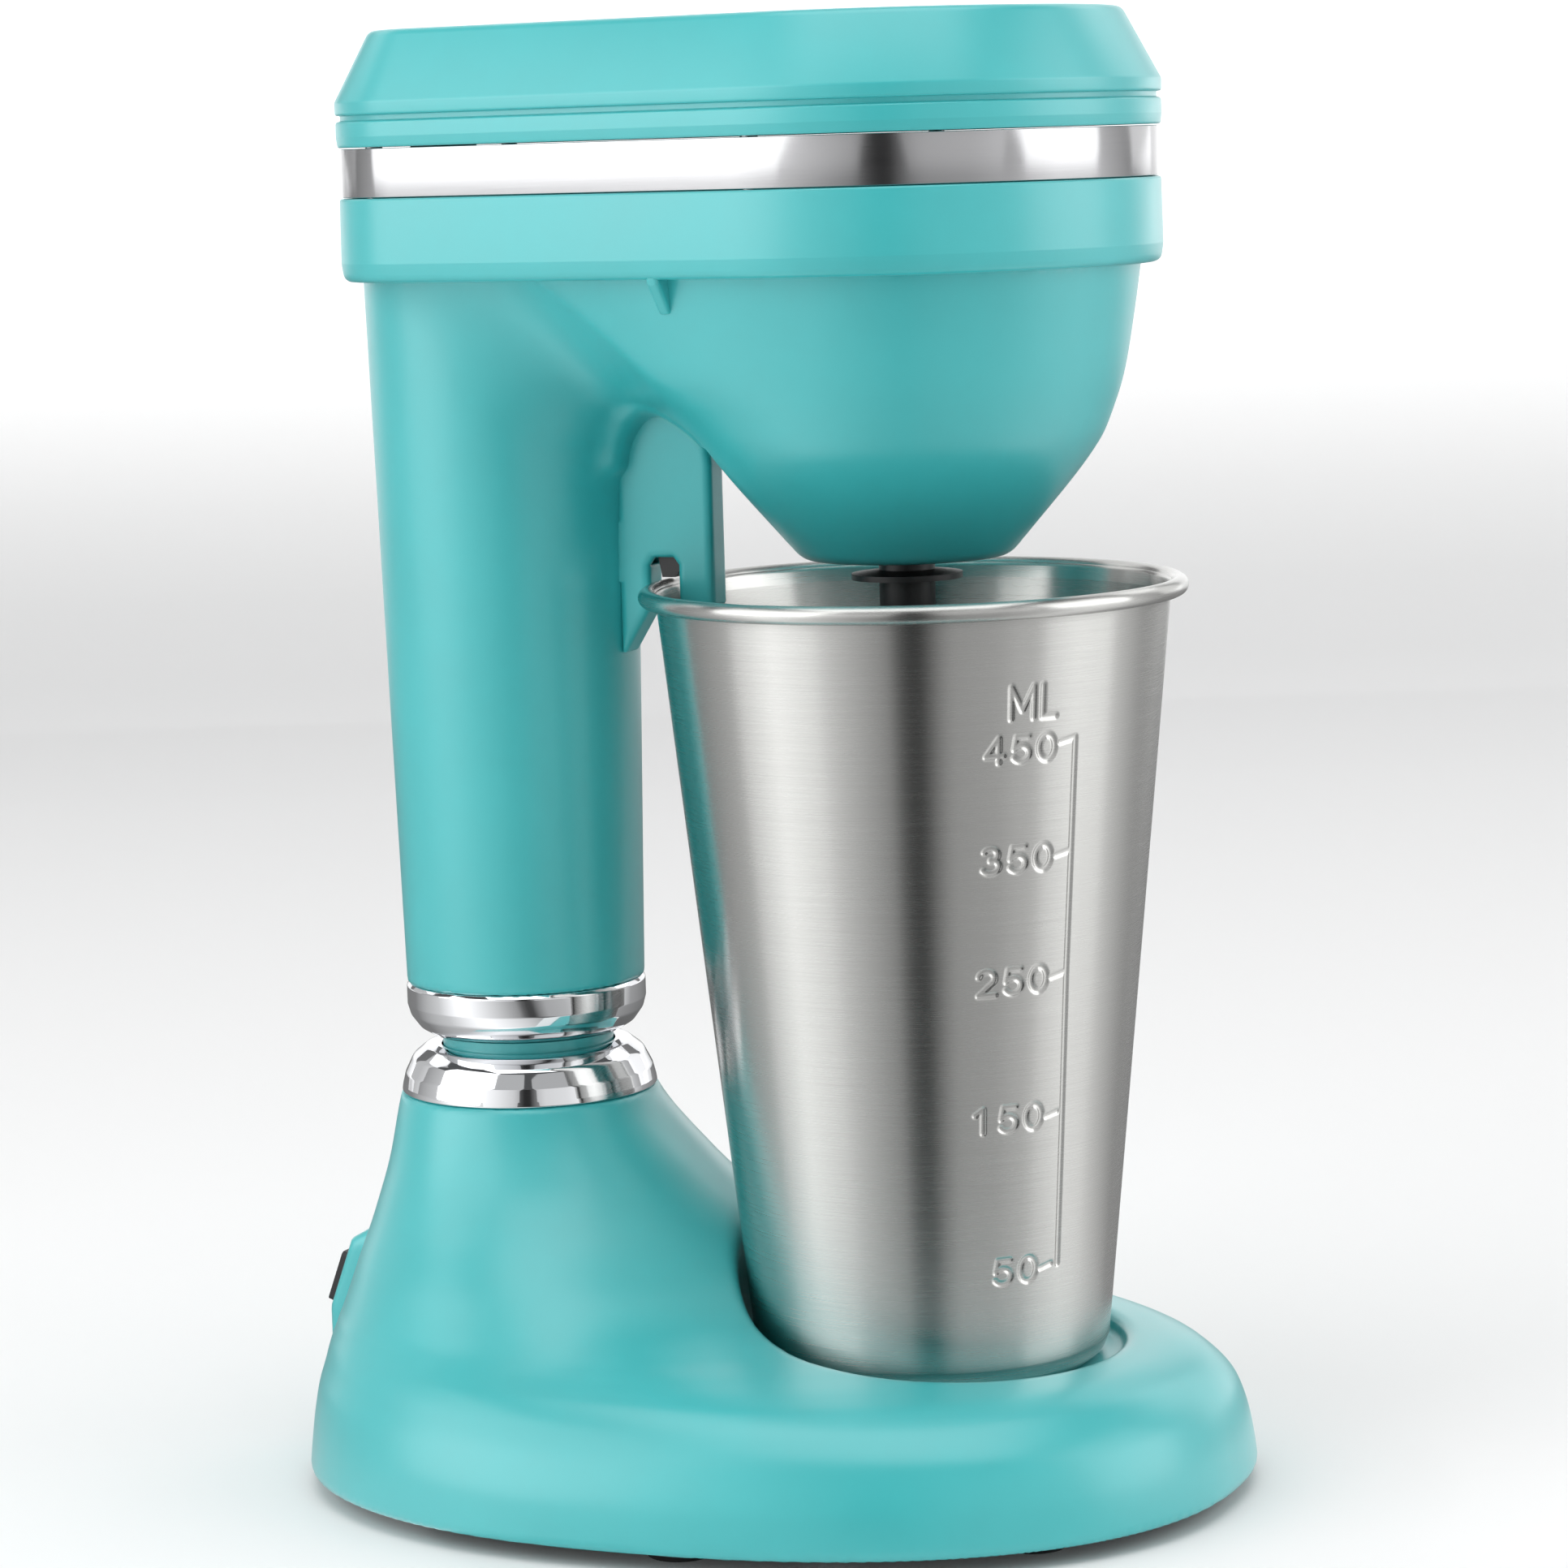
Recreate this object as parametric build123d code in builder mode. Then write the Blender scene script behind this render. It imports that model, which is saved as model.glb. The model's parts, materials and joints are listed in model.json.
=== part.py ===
"""Counter-top milkshake mixer with a steel cup.

Frame: millimetres, +X towards the cup, +Y to the object's left, +Z up. The origin is on the
table under the middle of the object, and the plane Y = 0 is the plane of symmetry.
"""

import os
from collections import namedtuple
from math import cos, radians, sin, tan

from build123d import *

os.makedirs("parts", exist_ok=True)

# ---------------------------------------------------------------- driving dimensions
CUP_X = 30.0              # axis of the cup and of its recess
SPINDLE_X = 29.0          # axis of the motor, the spindle and the agitator
COLUMN_X = -47.7          # axis of the column and its collars

WALL = 2.5                # plastic mouldings
PANEL_GAP = 0.2           # play between a panel and the opening that it closes

FOOT_HEIGHT = 3.0         # the base's edge stands this far above the table
COLLAR_SEAT_Z = 68.5      # top of the base, where the lower chrome collar sits
COLUMN_FOOT_Z = 88.65     # bottom of the column
BELL_BOTTOM_Z = 165.6
BELL_CREASE_Z = 182.5     # where the bell turns from a wall into a cone
SKIRT_BOTTOM_Z = 215.7
SKIRT_TOP_Z = 230.3       # bottom of the steel band
BAND_TOP_Z = 239.1
GROOVE_Z = 243.8
LIP_BOTTOM_Z = 244.7
LIP_TOP_Z = 247.3
HEAD_TOP_Z = 259.5

RIM_Z = 160.0             # centre of the cup's rolled rim
RIM_RADIUS = 46.4
RIM_BEAD = 1.6
CUP_BOTTOM_Z = 23.6
CUP_FLOOR_Z = 24.8        # underside of the cup's raised floor
CUP_STAND_RADIUS = 28.6   # outer edge of the ring that the cup stands on
CUP_FOOT_RADIUS = 31.5
CUP_FOOT_TOP_Z = 27.6     # the wall starts here, above the rounded foot
CUP_NECK_RADIUS = 44.8
CUP_SHEET = 0.6
RECESS_RADIUS = 34.2

SHAFT_RADIUS = 2.5
RUNNING_FIT = 0.05        # radial play of a shaft in its bush

# Column taper: outer radius at its foot and just under the skirt
COLUMN_FOOT_RADIUS = 21.6
COLUMN_TOP_RADIUS = 24.4

# A horizontal section of a moulding: its height, the x and half width of its widest chord, its
# rear and front ends, and the fullness of its quarter curves (ROUND is an ellipse, more is squarer)
Section = namedtuple("Section", "height widest_x half_width rear front fullness")
ROUND = 0.5523
FULL = 0.61

BASE_SECTIONS = [
    Section(FOOT_HEIGHT, -8.0, 67.5, -85.8, 86.5, FULL),
    Section(10.0, -8.5, 66.9, -85.0, 85.6, FULL),
    Section(17.0, -10.0, 64.8, -84.0, 83.6, FULL),
    Section(22.5, -13.0, 61.5, -82.9, 79.0, 0.60),
    Section(25.6, -17.0, 58.3, -82.1, 72.0, 0.60),
    Section(27.2, -21.0, 55.8, -81.5, 60.0, 0.60),
    Section(28.6, -25.0, 53.5, -81.0, 45.0, 0.60),
    Section(30.5, -29.0, 51.0, -80.5, 28.0, 0.59),
    Section(34.0, -34.0, 47.4, -79.5, 14.0, 0.58),
    Section(39.5, -39.0, 42.5, -77.9, 5.0, 0.57),
    Section(47.0, -43.0, 35.8, -75.7, -4.5, 0.565),
    Section(56.0, -45.7, 29.4, -73.3, -14.0, 0.56),
    Section(COLLAR_SEAT_Z, COLUMN_X, 23.3, COLUMN_X - 23.3, COLUMN_X + 23.3, ROUND),
]

BELL_SECTIONS = [
    Section(BELL_CREASE_Z, SPINDLE_X, 32.5, -3.6, SPINDLE_X + 32.5, ROUND),
    Section(187.0, SPINDLE_X, 35.0, -7.0, SPINDLE_X + 35.0, ROUND),
    Section(191.5, SPINDLE_X, 36.8, -12.5, SPINDLE_X + 36.8, ROUND),
    Section(195.0, SPINDLE_X, 38.0, -20.0, SPINDLE_X + 38.0, ROUND),
    Section(198.5, SPINDLE_X, 38.9, -29.0, SPINDLE_X + 38.9, ROUND),
    Section(205.0, SPINDLE_X, 40.1, -38.5, SPINDLE_X + 40.1, ROUND),
    Section(217.0, SPINDLE_X, 41.9, -50.0, SPINDLE_X + 41.9, ROUND),
]

# Plan of the head: two rear corners and a round front
HEAD_CORNER_X = -48.0
HEAD_CORNER_Y = 12.35
HEAD_CORNER_RADIUS = 22.3
HEAD_FRONT_X = 26.5
HEAD_FRONT_RADIUS = 48.2
BAND_INSET = 0.8
BAND_SHEET = 0.8
UPSTAND_INSET = 1.8       # the housing's rim behind the band
HEAD_CAVITY_INSET = 3.4

COLUMN_AXIS = Axis((COLUMN_X, 0, 0), (0, 0, 1))
SPINDLE_AXIS = Axis((SPINDLE_X, 0, 0), (0, 0, 1))
CUP_AXIS = Axis((CUP_X, 0, 0), (0, 0, 1))


def upright_plane(x):
    """The plane through x across which a turned profile is drawn as (radius, height)."""
    return Plane(origin=(x, 0, 0), x_dir=(1, 0, 0), z_dir=(0, -1, 0))


COLUMN_PLANE = upright_plane(COLUMN_X)
SPINDLE_PLANE = upright_plane(SPINDLE_X)
CUP_PLANE = upright_plane(CUP_X)
SIDE_PLANE = upright_plane(0.0)

BOTTOM = (Align.CENTER, Align.CENTER, Align.MIN)
TOP = (Align.CENTER, Align.CENTER, Align.MAX)


# ---------------------------------------------------------------- shared shapes
def section_face(section, inset=0.0):
    """A closed egg-shaped section, shrunk by inset."""
    half_width = section.half_width - inset
    x = section.widest_x
    with BuildSketch() as face:
        with BuildLine():
            for end in (section.front - inset, section.rear + inset):
                reach = (end - x) * section.fullness
                lift = half_width * section.fullness
                for side in (1, -1):
                    Bezier(
                        (end, 0),
                        (end, side * lift),
                        (x + reach, side * half_width),
                        (x, side * half_width),
                    )
        make_face()
    return face.sketch


def head_face(inset=0.0):
    """The plan of the head, shrunk by inset."""
    with BuildSketch() as face:
        with Locations((HEAD_CORNER_X, HEAD_CORNER_Y), (HEAD_CORNER_X, -HEAD_CORNER_Y)):
            Circle(HEAD_CORNER_RADIUS - inset)
        with Locations((HEAD_FRONT_X, 0)):
            Circle(HEAD_FRONT_RADIUS - inset)
        make_hull()
    return face.sketch


def outline_face(points):
    """The face inside a closed run of straight lines."""
    with BuildSketch() as face:
        with BuildLine():
            Polyline(points, close=True)
        make_face()
    return face.sketch


def ring_face(inner, outer, low, high):
    """The section of a plain ring as (radius, height)."""
    return outline_face([(inner, low), (outer, low), (outer, high), (inner, high)])


def pan_screw(head_radius, head_height, shank_radius, length):
    """Add a slotted pan-head screw: head above the local XY plane, shank below it."""
    Cylinder(head_radius, head_height, align=BOTTOM)
    Cylinder(shank_radius, length, align=TOP)
    with Locations((0, 0, head_height)):
        Box(2.2 * head_radius, 0.3 * head_radius, head_height, mode=Mode.SUBTRACT)


# ---------------------------------------------------------------- base
# Places of what is in the base, as (x, y)
FEET = [(60, 32), (60, -32), (4, 54), (4, -54), (-62, 30), (-62, -30)]
BASE_SCREWS = [(72, 0), (32, 55), (32, -55), (-48, 44), (-48, -44), (-68, 14), (-68, -14)]
PLATE_TOP_Z = FOOT_HEIGHT + WALL
BASE_BOSS_RADIUS = 3.6
BASE_SCREW_PILOT = 1.3
BASE_SCREW_LENGTH = 12.0

# Neck between the two collars
NECK_RADIUS = 15.6
NECK_BORE = 6.0
NECK_FLOOR_Z = 50.0
COLUMN_SCREW_CIRCLE = 10.8
COLUMN_SCREW_SEAT_Z = 63.0
COLUMN_SCREW_HEAD = 3.6
COLUMN_SCREW_RADIUS = 2.0
COLUMN_SCREW_LENGTH = 38.0

# Rear switch panel: a raised flat that leans forward, with a straight foot
PANEL_LEAN = 20.6
PANEL_CENTRE = (-84.6, 0, 31.5)
PANEL_HALF_WIDTH = 11.0
PANEL_FOOT_X = -86.5
SWITCH_PLANE = Plane(
    origin=PANEL_CENTRE,
    x_dir=(0, -1, 0),
    z_dir=(-cos(radians(PANEL_LEAN)), 0, sin(radians(PANEL_LEAN))),
)
SWITCH_BODY = (13.4, 8.4)
SWITCH_DEPTH = 13.0
SWITCH_BEZEL = (15.0, 9.8)
SWITCH_BEZEL_HEIGHT = 1.2
ROCKER_POCKET = (11.8, 6.9)
ROCKER_PIVOT_DEPTH = 2.5

# Mains inlet gland in the straight foot of the panel
GLAND_Z = 14.0
GLAND_FLANGE = (5.6, 1.5)
GLAND_BODY_RADIUS = 4.3
GLAND_BORE = 3.2
GLAND_LENGTH = 9.0

with BuildPart() as base_body:
    for section in BASE_SECTIONS:
        with BuildSketch(Plane.XY.offset(section.height)):
            add(section_face(section))
    loft()

with BuildPart() as base_cavity:
    for section in BASE_SECTIONS[:-1]:
        # the moulding's roof is as thick as its wall, its edge is open below
        drop = min(WALL, 0.25 * (section.height - FOOT_HEIGHT))
        with BuildSketch(Plane.XY.offset(section.height - drop)):
            add(section_face(section, WALL))
    loft()
    with Locations((CUP_X, 0, CUP_BOTTOM_Z - WALL)):
        Cylinder(RECESS_RADIUS + WALL, 60, align=BOTTOM, mode=Mode.SUBTRACT)
    with BuildSketch(COLUMN_PLANE):
        add(ring_face(0, NECK_RADIUS + 1, NECK_FLOOR_Z, COLLAR_SEAT_Z))
    revolve(axis=COLUMN_AXIS, mode=Mode.SUBTRACT)
    # what is left of these is the screw bosses
    with Locations([(x, y, PLATE_TOP_Z) for x, y in BASE_SCREWS]):
        Cylinder(BASE_BOSS_RADIUS, 40, align=BOTTOM, mode=Mode.SUBTRACT)

with BuildPart() as switch_panel:
    lean = tan(radians(PANEL_LEAN))
    crest_z = 39.4
    crest_x = PANEL_CENTRE[0] + (crest_z - PANEL_CENTRE[2]) * lean
    knee_z = PANEL_CENTRE[2] - (PANEL_CENTRE[0] - PANEL_FOOT_X) / lean
    with BuildSketch(SIDE_PLANE):
        with BuildLine():
            Polyline(
                (-72.0, 43.0),
                (crest_x + 4.0, 41.6),
                (crest_x, crest_z),
                (PANEL_FOOT_X, knee_z),
                (PANEL_FOOT_X, 7.0),
                (-72.0, 7.0),
                close=True,
            )
        make_face()
    extrude(amount=PANEL_HALF_WIDTH, both=True)
    fillet(switch_panel.edges().filter_by(Axis.Y).group_by(Axis.X)[0], 3.0)
    fillet(switch_panel.faces().sort_by(Axis.Y)[0].edges().filter_by(Axis.Y, reverse=True), 1.2)
    fillet(switch_panel.faces().sort_by(Axis.Y)[-1].edges().filter_by(Axis.Y, reverse=True), 1.2)

with BuildPart() as base_shell:
    add(base_body.part)
    add(switch_panel.part)
    add(base_cavity.part, mode=Mode.SUBTRACT)
    # neck, which carries the column
    with BuildSketch(COLUMN_PLANE):
        add(ring_face(0, NECK_RADIUS, COLLAR_SEAT_Z - WALL, COLUMN_FOOT_Z))
    revolve(axis=COLUMN_AXIS)
    with Locations((COLUMN_X, 0, NECK_FLOOR_Z)):
        Cylinder(NECK_BORE, COLUMN_FOOT_Z - NECK_FLOOR_Z, align=BOTTOM, mode=Mode.SUBTRACT)
        with PolarLocations(COLUMN_SCREW_CIRCLE, 3, start_angle=60):
            Cylinder(
                COLUMN_SCREW_RADIUS + PANEL_GAP,
                COLUMN_FOOT_Z - NECK_FLOOR_Z,
                align=BOTTOM,
                mode=Mode.SUBTRACT,
            )
            Cylinder(
                COLUMN_SCREW_HEAD + PANEL_GAP,
                COLUMN_SCREW_SEAT_Z - NECK_FLOOR_Z,
                align=BOTTOM,
                mode=Mode.SUBTRACT,
            )
    # round recess for the foot of the cup, with a softened lip
    with Locations((CUP_X, 0, CUP_BOTTOM_Z)):
        Cylinder(RECESS_RADIUS, 60, align=BOTTOM, mode=Mode.SUBTRACT)
    # screw pilots
    with Locations([(x, y, PLATE_TOP_Z) for x, y in BASE_SCREWS]):
        Cylinder(BASE_SCREW_PILOT, BASE_SCREW_LENGTH - WALL, align=BOTTOM, mode=Mode.SUBTRACT)
    # openings for the switch and the mains inlet
    with BuildSketch(SWITCH_PLANE):
        Rectangle(SWITCH_BODY[0] + 2 * PANEL_GAP, SWITCH_BODY[1] + 2 * PANEL_GAP)
    extrude(amount=-12, mode=Mode.SUBTRACT)
    with BuildSketch(Plane.YZ.offset(PANEL_FOOT_X)):
        with Locations((0, GLAND_Z)):
            Circle(GLAND_BODY_RADIUS)
    extrude(amount=12, mode=Mode.SUBTRACT)
    with BuildSketch(Plane.YZ.offset(PANEL_FOOT_X)):
        with Locations((0, GLAND_Z)):
            Circle(GLAND_FLANGE[0])
    extrude(amount=GLAND_FLANGE[1], mode=Mode.SUBTRACT)

base_shell.part.label = "base_shell"
export_step(base_shell.part, "parts/base_shell.step")

# ---------------------------------------------------------------- under the base
PLATE_GAP = 0.6
PLATE_SCREW_HEAD = 3.0
PLATE_SCREW_SINK = 1.4
FOOT_RADIUS = 6.5
FOOT_STEM_RADIUS = 2.4
FOOT_KEEPER_RADIUS = 3.4

with BuildPart() as base_plate:
    with BuildSketch(Plane.XY.offset(FOOT_HEIGHT)):
        add(section_face(BASE_SECTIONS[0], WALL + PLATE_GAP))
    extrude(amount=WALL)
    with Locations([(x, y, FOOT_HEIGHT) for x, y in BASE_SCREWS]):
        Cylinder(PLATE_SCREW_HEAD + PANEL_GAP, PLATE_SCREW_SINK, align=BOTTOM, mode=Mode.SUBTRACT)
        Cylinder(BASE_SCREW_PILOT + 0.4, WALL, align=BOTTOM, mode=Mode.SUBTRACT)
    with Locations([(x, y, FOOT_HEIGHT) for x, y in FEET]):
        Cylinder(FOOT_STEM_RADIUS, WALL, align=BOTTOM, mode=Mode.SUBTRACT)

base_plate.part.label = "base_plate"
export_step(base_plate.part, "parts/base_plate.step")

with BuildPart() as base_screws:
    seats = [Location((x, y, FOOT_HEIGHT + PLATE_SCREW_SINK), (180, 0, 0)) for x, y in BASE_SCREWS]
    with Locations(seats):
        pan_screw(PLATE_SCREW_HEAD, 1.2, BASE_SCREW_PILOT, BASE_SCREW_LENGTH - PLATE_SCREW_SINK)

base_screws.part.label = "base_screws"
export_step(base_screws.part, "parts/base_screws.step")

with BuildPart() as rubber_feet:
    with Locations([(x, y, 0) for x, y in FEET]):
        Cone(FOOT_RADIUS - 0.8, FOOT_RADIUS, FOOT_HEIGHT, align=BOTTOM)
    with Locations([(x, y, FOOT_HEIGHT) for x, y in FEET]):
        Cylinder(FOOT_STEM_RADIUS, WALL, align=BOTTOM)
    with Locations([(x, y, PLATE_TOP_Z) for x, y in FEET]):
        Cone(FOOT_KEEPER_RADIUS, FOOT_STEM_RADIUS - 0.6, 2.4, align=BOTTOM)

rubber_feet.part.label = "rubber_feet"
export_step(rubber_feet.part, "parts/rubber_feet.step")

# ---------------------------------------------------------------- chrome collars and column screws
COLLAR_BORE = NECK_RADIUS + 0.1
LOWER_COLLAR_TOP_Z = 77.0
UPPER_COLLAR_BOTTOM_Z = 79.2

with BuildPart() as lower_collar:
    with BuildSketch(COLUMN_PLANE):
        with BuildLine():
            Polyline((COLLAR_BORE, LOWER_COLLAR_TOP_Z), (COLLAR_BORE, COLLAR_SEAT_Z))
            Line((COLLAR_BORE, COLLAR_SEAT_Z), (23.2, COLLAR_SEAT_Z))
            Line((23.2, COLLAR_SEAT_Z), (22.7, 71.4))
            Spline(
                (22.7, 71.4),
                (20.9, 74.9),
                (16.9, LOWER_COLLAR_TOP_Z),
                tangents=((-0.17, 1.0), (-1.0, 0.1)),
            )
            Line((16.9, LOWER_COLLAR_TOP_Z), (COLLAR_BORE, LOWER_COLLAR_TOP_Z))
        make_face()
    revolve(axis=COLUMN_AXIS)

lower_collar.part.label = "lower_collar"
export_step(lower_collar.part, "parts/lower_collar.step")

with BuildPart() as upper_collar:
    top_z = COLUMN_FOOT_Z - 0.05
    with BuildSketch(COLUMN_PLANE):
        with BuildLine():
            Line((COLLAR_BORE, UPPER_COLLAR_BOTTOM_Z), (COLLAR_BORE, top_z))
            Line((COLLAR_BORE, top_z), (21.2, top_z))
            Line((21.2, top_z), (21.7, top_z - 0.5))
            Line((21.7, top_z - 0.5), (21.7, 84.4))
            Spline(
                (21.7, 84.4),
                (20.4, 81.2),
                (17.6, UPPER_COLLAR_BOTTOM_Z),
                tangents=((0.0, -1.0), (-1.0, -0.45)),
            )
            Line((17.6, UPPER_COLLAR_BOTTOM_Z), (COLLAR_BORE, UPPER_COLLAR_BOTTOM_Z))
        make_face()
    revolve(axis=COLUMN_AXIS)

upper_collar.part.label = "upper_collar"
export_step(upper_collar.part, "parts/upper_collar.step")

with BuildPart() as column_screws:
    with Locations(Location((COLUMN_X, 0, COLUMN_SCREW_SEAT_Z), (180, 0, 0))):
        with PolarLocations(COLUMN_SCREW_CIRCLE, 3, start_angle=60):
            pan_screw(COLUMN_SCREW_HEAD, 2.4, COLUMN_SCREW_RADIUS, COLUMN_SCREW_LENGTH)

column_screws.part.label = "column_screws"
export_step(column_screws.part, "parts/column_screws.step")

# ---------------------------------------------------------------- arm housing: column, bell and skirt
COLUMN_FLOOR = 6.0
COLUMN_BOSS_TOP_Z = 106.0
BELL_FLOOR_Z = BELL_BOTTOM_Z + WALL
BELL_MOUTH_RADIUS = 6.2
BELL_FLAT_RADIUS = 17.6
BELL_CONE_RADIUS = BELL_SECTIONS[0].half_width
SKIRT_FLOOR_Z = SKIRT_BOTTOM_Z + WALL
MOTOR_POSTS_RADIUS = 24.0
MOTOR_POST_TOP_Z = 183.0
MOTOR_SCREW_RADIUS = 1.2
MOTOR_SCREW_DEPTH = 5.0
RIB_X = 1.5
RIB_THICKNESS = 2.2
RIB_ROOT_Y = 35.5
RIB_TIP_Y = 43.6
RIB_DROP = 6.0
COVER_SCREWS = [(-58, 27), (-58, -27), (20, 43.4), (20, -43.4)]
COVER_BOSS_RADIUS = 3.0
COVER_SCREW_RADIUS = 1.5
COVER_SCREW_HEAD = (2.2, 1.3)
COVER_SCREW_SINK = 1.5              # the heads sit this deep in the skirt's underside
COVER_SCREW_REACH = 8.0             # of the pilot, into the cover
LEVER_SLOT_HALF = 1.8
HOLDER_HALF = 3.4
HOLDER_WINDOW = (161.0, 177.0)      # low and high edges of the opening in the column's front
HOLDER_SCREWS_Z = (181.0, 187.0)
HOLDER_SCREW_RADIUS = 1.3

with BuildPart() as bell_body:
    for section in BELL_SECTIONS:
        with BuildSketch(Plane.XY.offset(section.height)):
            add(section_face(section))
    loft()

with BuildPart() as bell_cavity:
    for section in BELL_SECTIONS:
        with BuildSketch(Plane.XY.offset(section.height + WALL)):
            add(section_face(section, WALL))
    loft()

with BuildPart() as housing_cavity:
    add(bell_cavity.part)
    cone_top = BELL_CREASE_Z + WALL
    with BuildSketch(SPINDLE_PLANE):
        with BuildLine():
            Polyline(
                (0, BELL_FLOOR_Z),
                (BELL_FLAT_RADIUS - 1.2, BELL_FLOOR_Z),
                (BELL_CONE_RADIUS - WALL - 0.4, cone_top),
                (BELL_CONE_RADIUS - WALL - 0.4, cone_top + 1),
                (0, cone_top + 1),
                close=True,
            )
        make_face()
    revolve(axis=SPINDLE_AXIS)
    # what is left of these is the motor's posts
    with Locations((SPINDLE_X, 0, BELL_FLOOR_Z)):
        with PolarLocations(MOTOR_POSTS_RADIUS, 4, start_angle=45):
            Cylinder(3.2, MOTOR_POST_TOP_Z - BELL_FLOOR_Z, align=BOTTOM, mode=Mode.SUBTRACT)
    with BuildSketch(COLUMN_PLANE):
        with BuildLine():
            Polyline(
                (0, COLUMN_FOOT_Z + COLUMN_FLOOR),
                (COLUMN_FOOT_RADIUS - WALL, COLUMN_FOOT_Z + COLUMN_FLOOR),
                (COLUMN_TOP_RADIUS - WALL, SKIRT_FLOOR_Z + 1),
                (0, SKIRT_FLOOR_Z + 1),
                close=True,
            )
        make_face()
    revolve(axis=COLUMN_AXIS)
    with BuildSketch(Plane.XY.offset(SKIRT_FLOOR_Z)):
        add(head_face(HEAD_CAVITY_INSET))
    extrude(amount=BAND_TOP_Z - SKIRT_FLOOR_Z)
    with Locations([(x, y, SKIRT_FLOOR_Z) for x, y in COVER_SCREWS]):
        Cylinder(COVER_BOSS_RADIUS, BAND_TOP_Z - SKIRT_FLOOR_Z, align=BOTTOM, mode=Mode.SUBTRACT)
    with Locations((COLUMN_X, 0, COLUMN_FOOT_Z + COLUMN_FLOOR)):
        with PolarLocations(COLUMN_SCREW_CIRCLE, 3, start_angle=60):
            Cylinder(
                COLUMN_SCREW_RADIUS + 1.8,
                COLUMN_BOSS_TOP_Z - COLUMN_FOOT_Z - COLUMN_FLOOR,
                align=BOTTOM,
                mode=Mode.SUBTRACT,
            )

with BuildPart() as skirt:
    with BuildSketch(Plane.XY.offset(SKIRT_BOTTOM_Z)):
        add(head_face(0.3))
    extrude(amount=SKIRT_TOP_Z - SKIRT_BOTTOM_Z)
    fillet(skirt.faces().sort_by(Axis.Z)[0].edges(), 1.6)
    fillet(skirt.faces().sort_by(Axis.Z)[-1].edges(), 0.5)
    # small ribs between the skirt and the bell
    for side in (1, -1):
        rib_outline = [
            (side * RIB_ROOT_Y, SKIRT_BOTTOM_Z + 1),
            (side * RIB_TIP_Y, SKIRT_BOTTOM_Z + 1),
            (side * (RIB_TIP_Y - 0.6), SKIRT_BOTTOM_Z - 0.8),
            (side * (RIB_ROOT_Y + 2.6), SKIRT_BOTTOM_Z - RIB_DROP),
            (side * RIB_ROOT_Y, SKIRT_BOTTOM_Z - RIB_DROP),
        ]
        with BuildSketch(Plane.YZ.offset(RIB_X)):
            add(outline_face(rib_outline))
        extrude(amount=RIB_THICKNESS / 2, both=True)

with BuildPart() as arm_housing:
    with BuildSketch(COLUMN_PLANE):
        with BuildLine():
            Polyline(
                (0, COLUMN_FOOT_Z),
                (COLUMN_FOOT_RADIUS, COLUMN_FOOT_Z),
                (COLUMN_TOP_RADIUS, SKIRT_BOTTOM_Z),
                (COLUMN_TOP_RADIUS, SKIRT_BOTTOM_Z + 1),
                (0, SKIRT_BOTTOM_Z + 1),
                close=True,
            )
        make_face()
    revolve(axis=COLUMN_AXIS)
    add(bell_body.part)
    with BuildSketch(SPINDLE_PLANE):
        with BuildLine():
            Polyline(
                (0, BELL_BOTTOM_Z),
                (BELL_FLAT_RADIUS, BELL_BOTTOM_Z),
                (BELL_FLAT_RADIUS + 1.2, BELL_BOTTOM_Z + 1.0),
                (BELL_CONE_RADIUS - 0.12, BELL_CREASE_Z),
                (BELL_CONE_RADIUS - 0.12, BELL_CREASE_Z + 1),
                (0, BELL_CREASE_Z + 1),
                close=True,
            )
        make_face()
    revolve(axis=SPINDLE_AXIS)
    add(skirt.part)
    with BuildSketch(Plane.XY.offset(SKIRT_TOP_Z)):
        add(head_face(UPSTAND_INSET))
    extrude(amount=BAND_TOP_Z - SKIRT_TOP_Z)
    add(housing_cavity.part, mode=Mode.SUBTRACT)
    # mouth for the spindle, screw pilots, wire way
    with Locations((SPINDLE_X, 0, BELL_BOTTOM_Z)):
        Cylinder(BELL_MOUTH_RADIUS, WALL, align=BOTTOM, mode=Mode.SUBTRACT)
    with Locations((SPINDLE_X, 0, MOTOR_POST_TOP_Z)):
        with PolarLocations(MOTOR_POSTS_RADIUS, 4, start_angle=45):
            Cylinder(MOTOR_SCREW_RADIUS, MOTOR_SCREW_DEPTH, align=TOP, mode=Mode.SUBTRACT)
    with Locations([(x, y, SKIRT_BOTTOM_Z) for x, y in COVER_SCREWS]):
        Cylinder(
            COVER_SCREW_RADIUS + PANEL_GAP,
            BAND_TOP_Z - SKIRT_BOTTOM_Z,
            align=BOTTOM,
            mode=Mode.SUBTRACT,
        )
        Cylinder(
            COVER_SCREW_HEAD[0] + PANEL_GAP,
            COVER_SCREW_SINK,
            align=BOTTOM,
            mode=Mode.SUBTRACT,
        )
    with Locations((COLUMN_X, 0, COLUMN_FOOT_Z)):
        Cylinder(NECK_BORE, COLUMN_FLOOR, align=BOTTOM, mode=Mode.SUBTRACT)
        with PolarLocations(COLUMN_SCREW_CIRCLE, 3, start_angle=60):
            Cylinder(COLUMN_SCREW_RADIUS, 14, align=BOTTOM, mode=Mode.SUBTRACT)
    # opening and screw holes for the cup holder
    with Locations((COLUMN_X + 20, 0, HOLDER_WINDOW[0])):
        Box(
            10,
            2 * (HOLDER_HALF + 0.1),
            HOLDER_WINDOW[1] - HOLDER_WINDOW[0],
            align=BOTTOM,
            mode=Mode.SUBTRACT,
        )
    for screw_z in HOLDER_SCREWS_Z:
        with BuildSketch(Plane.YZ.offset(COLUMN_X + 15)):
            with Locations((0, screw_z)):
                Circle(HOLDER_SCREW_RADIUS)
        extrude(amount=12, mode=Mode.SUBTRACT)

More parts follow.
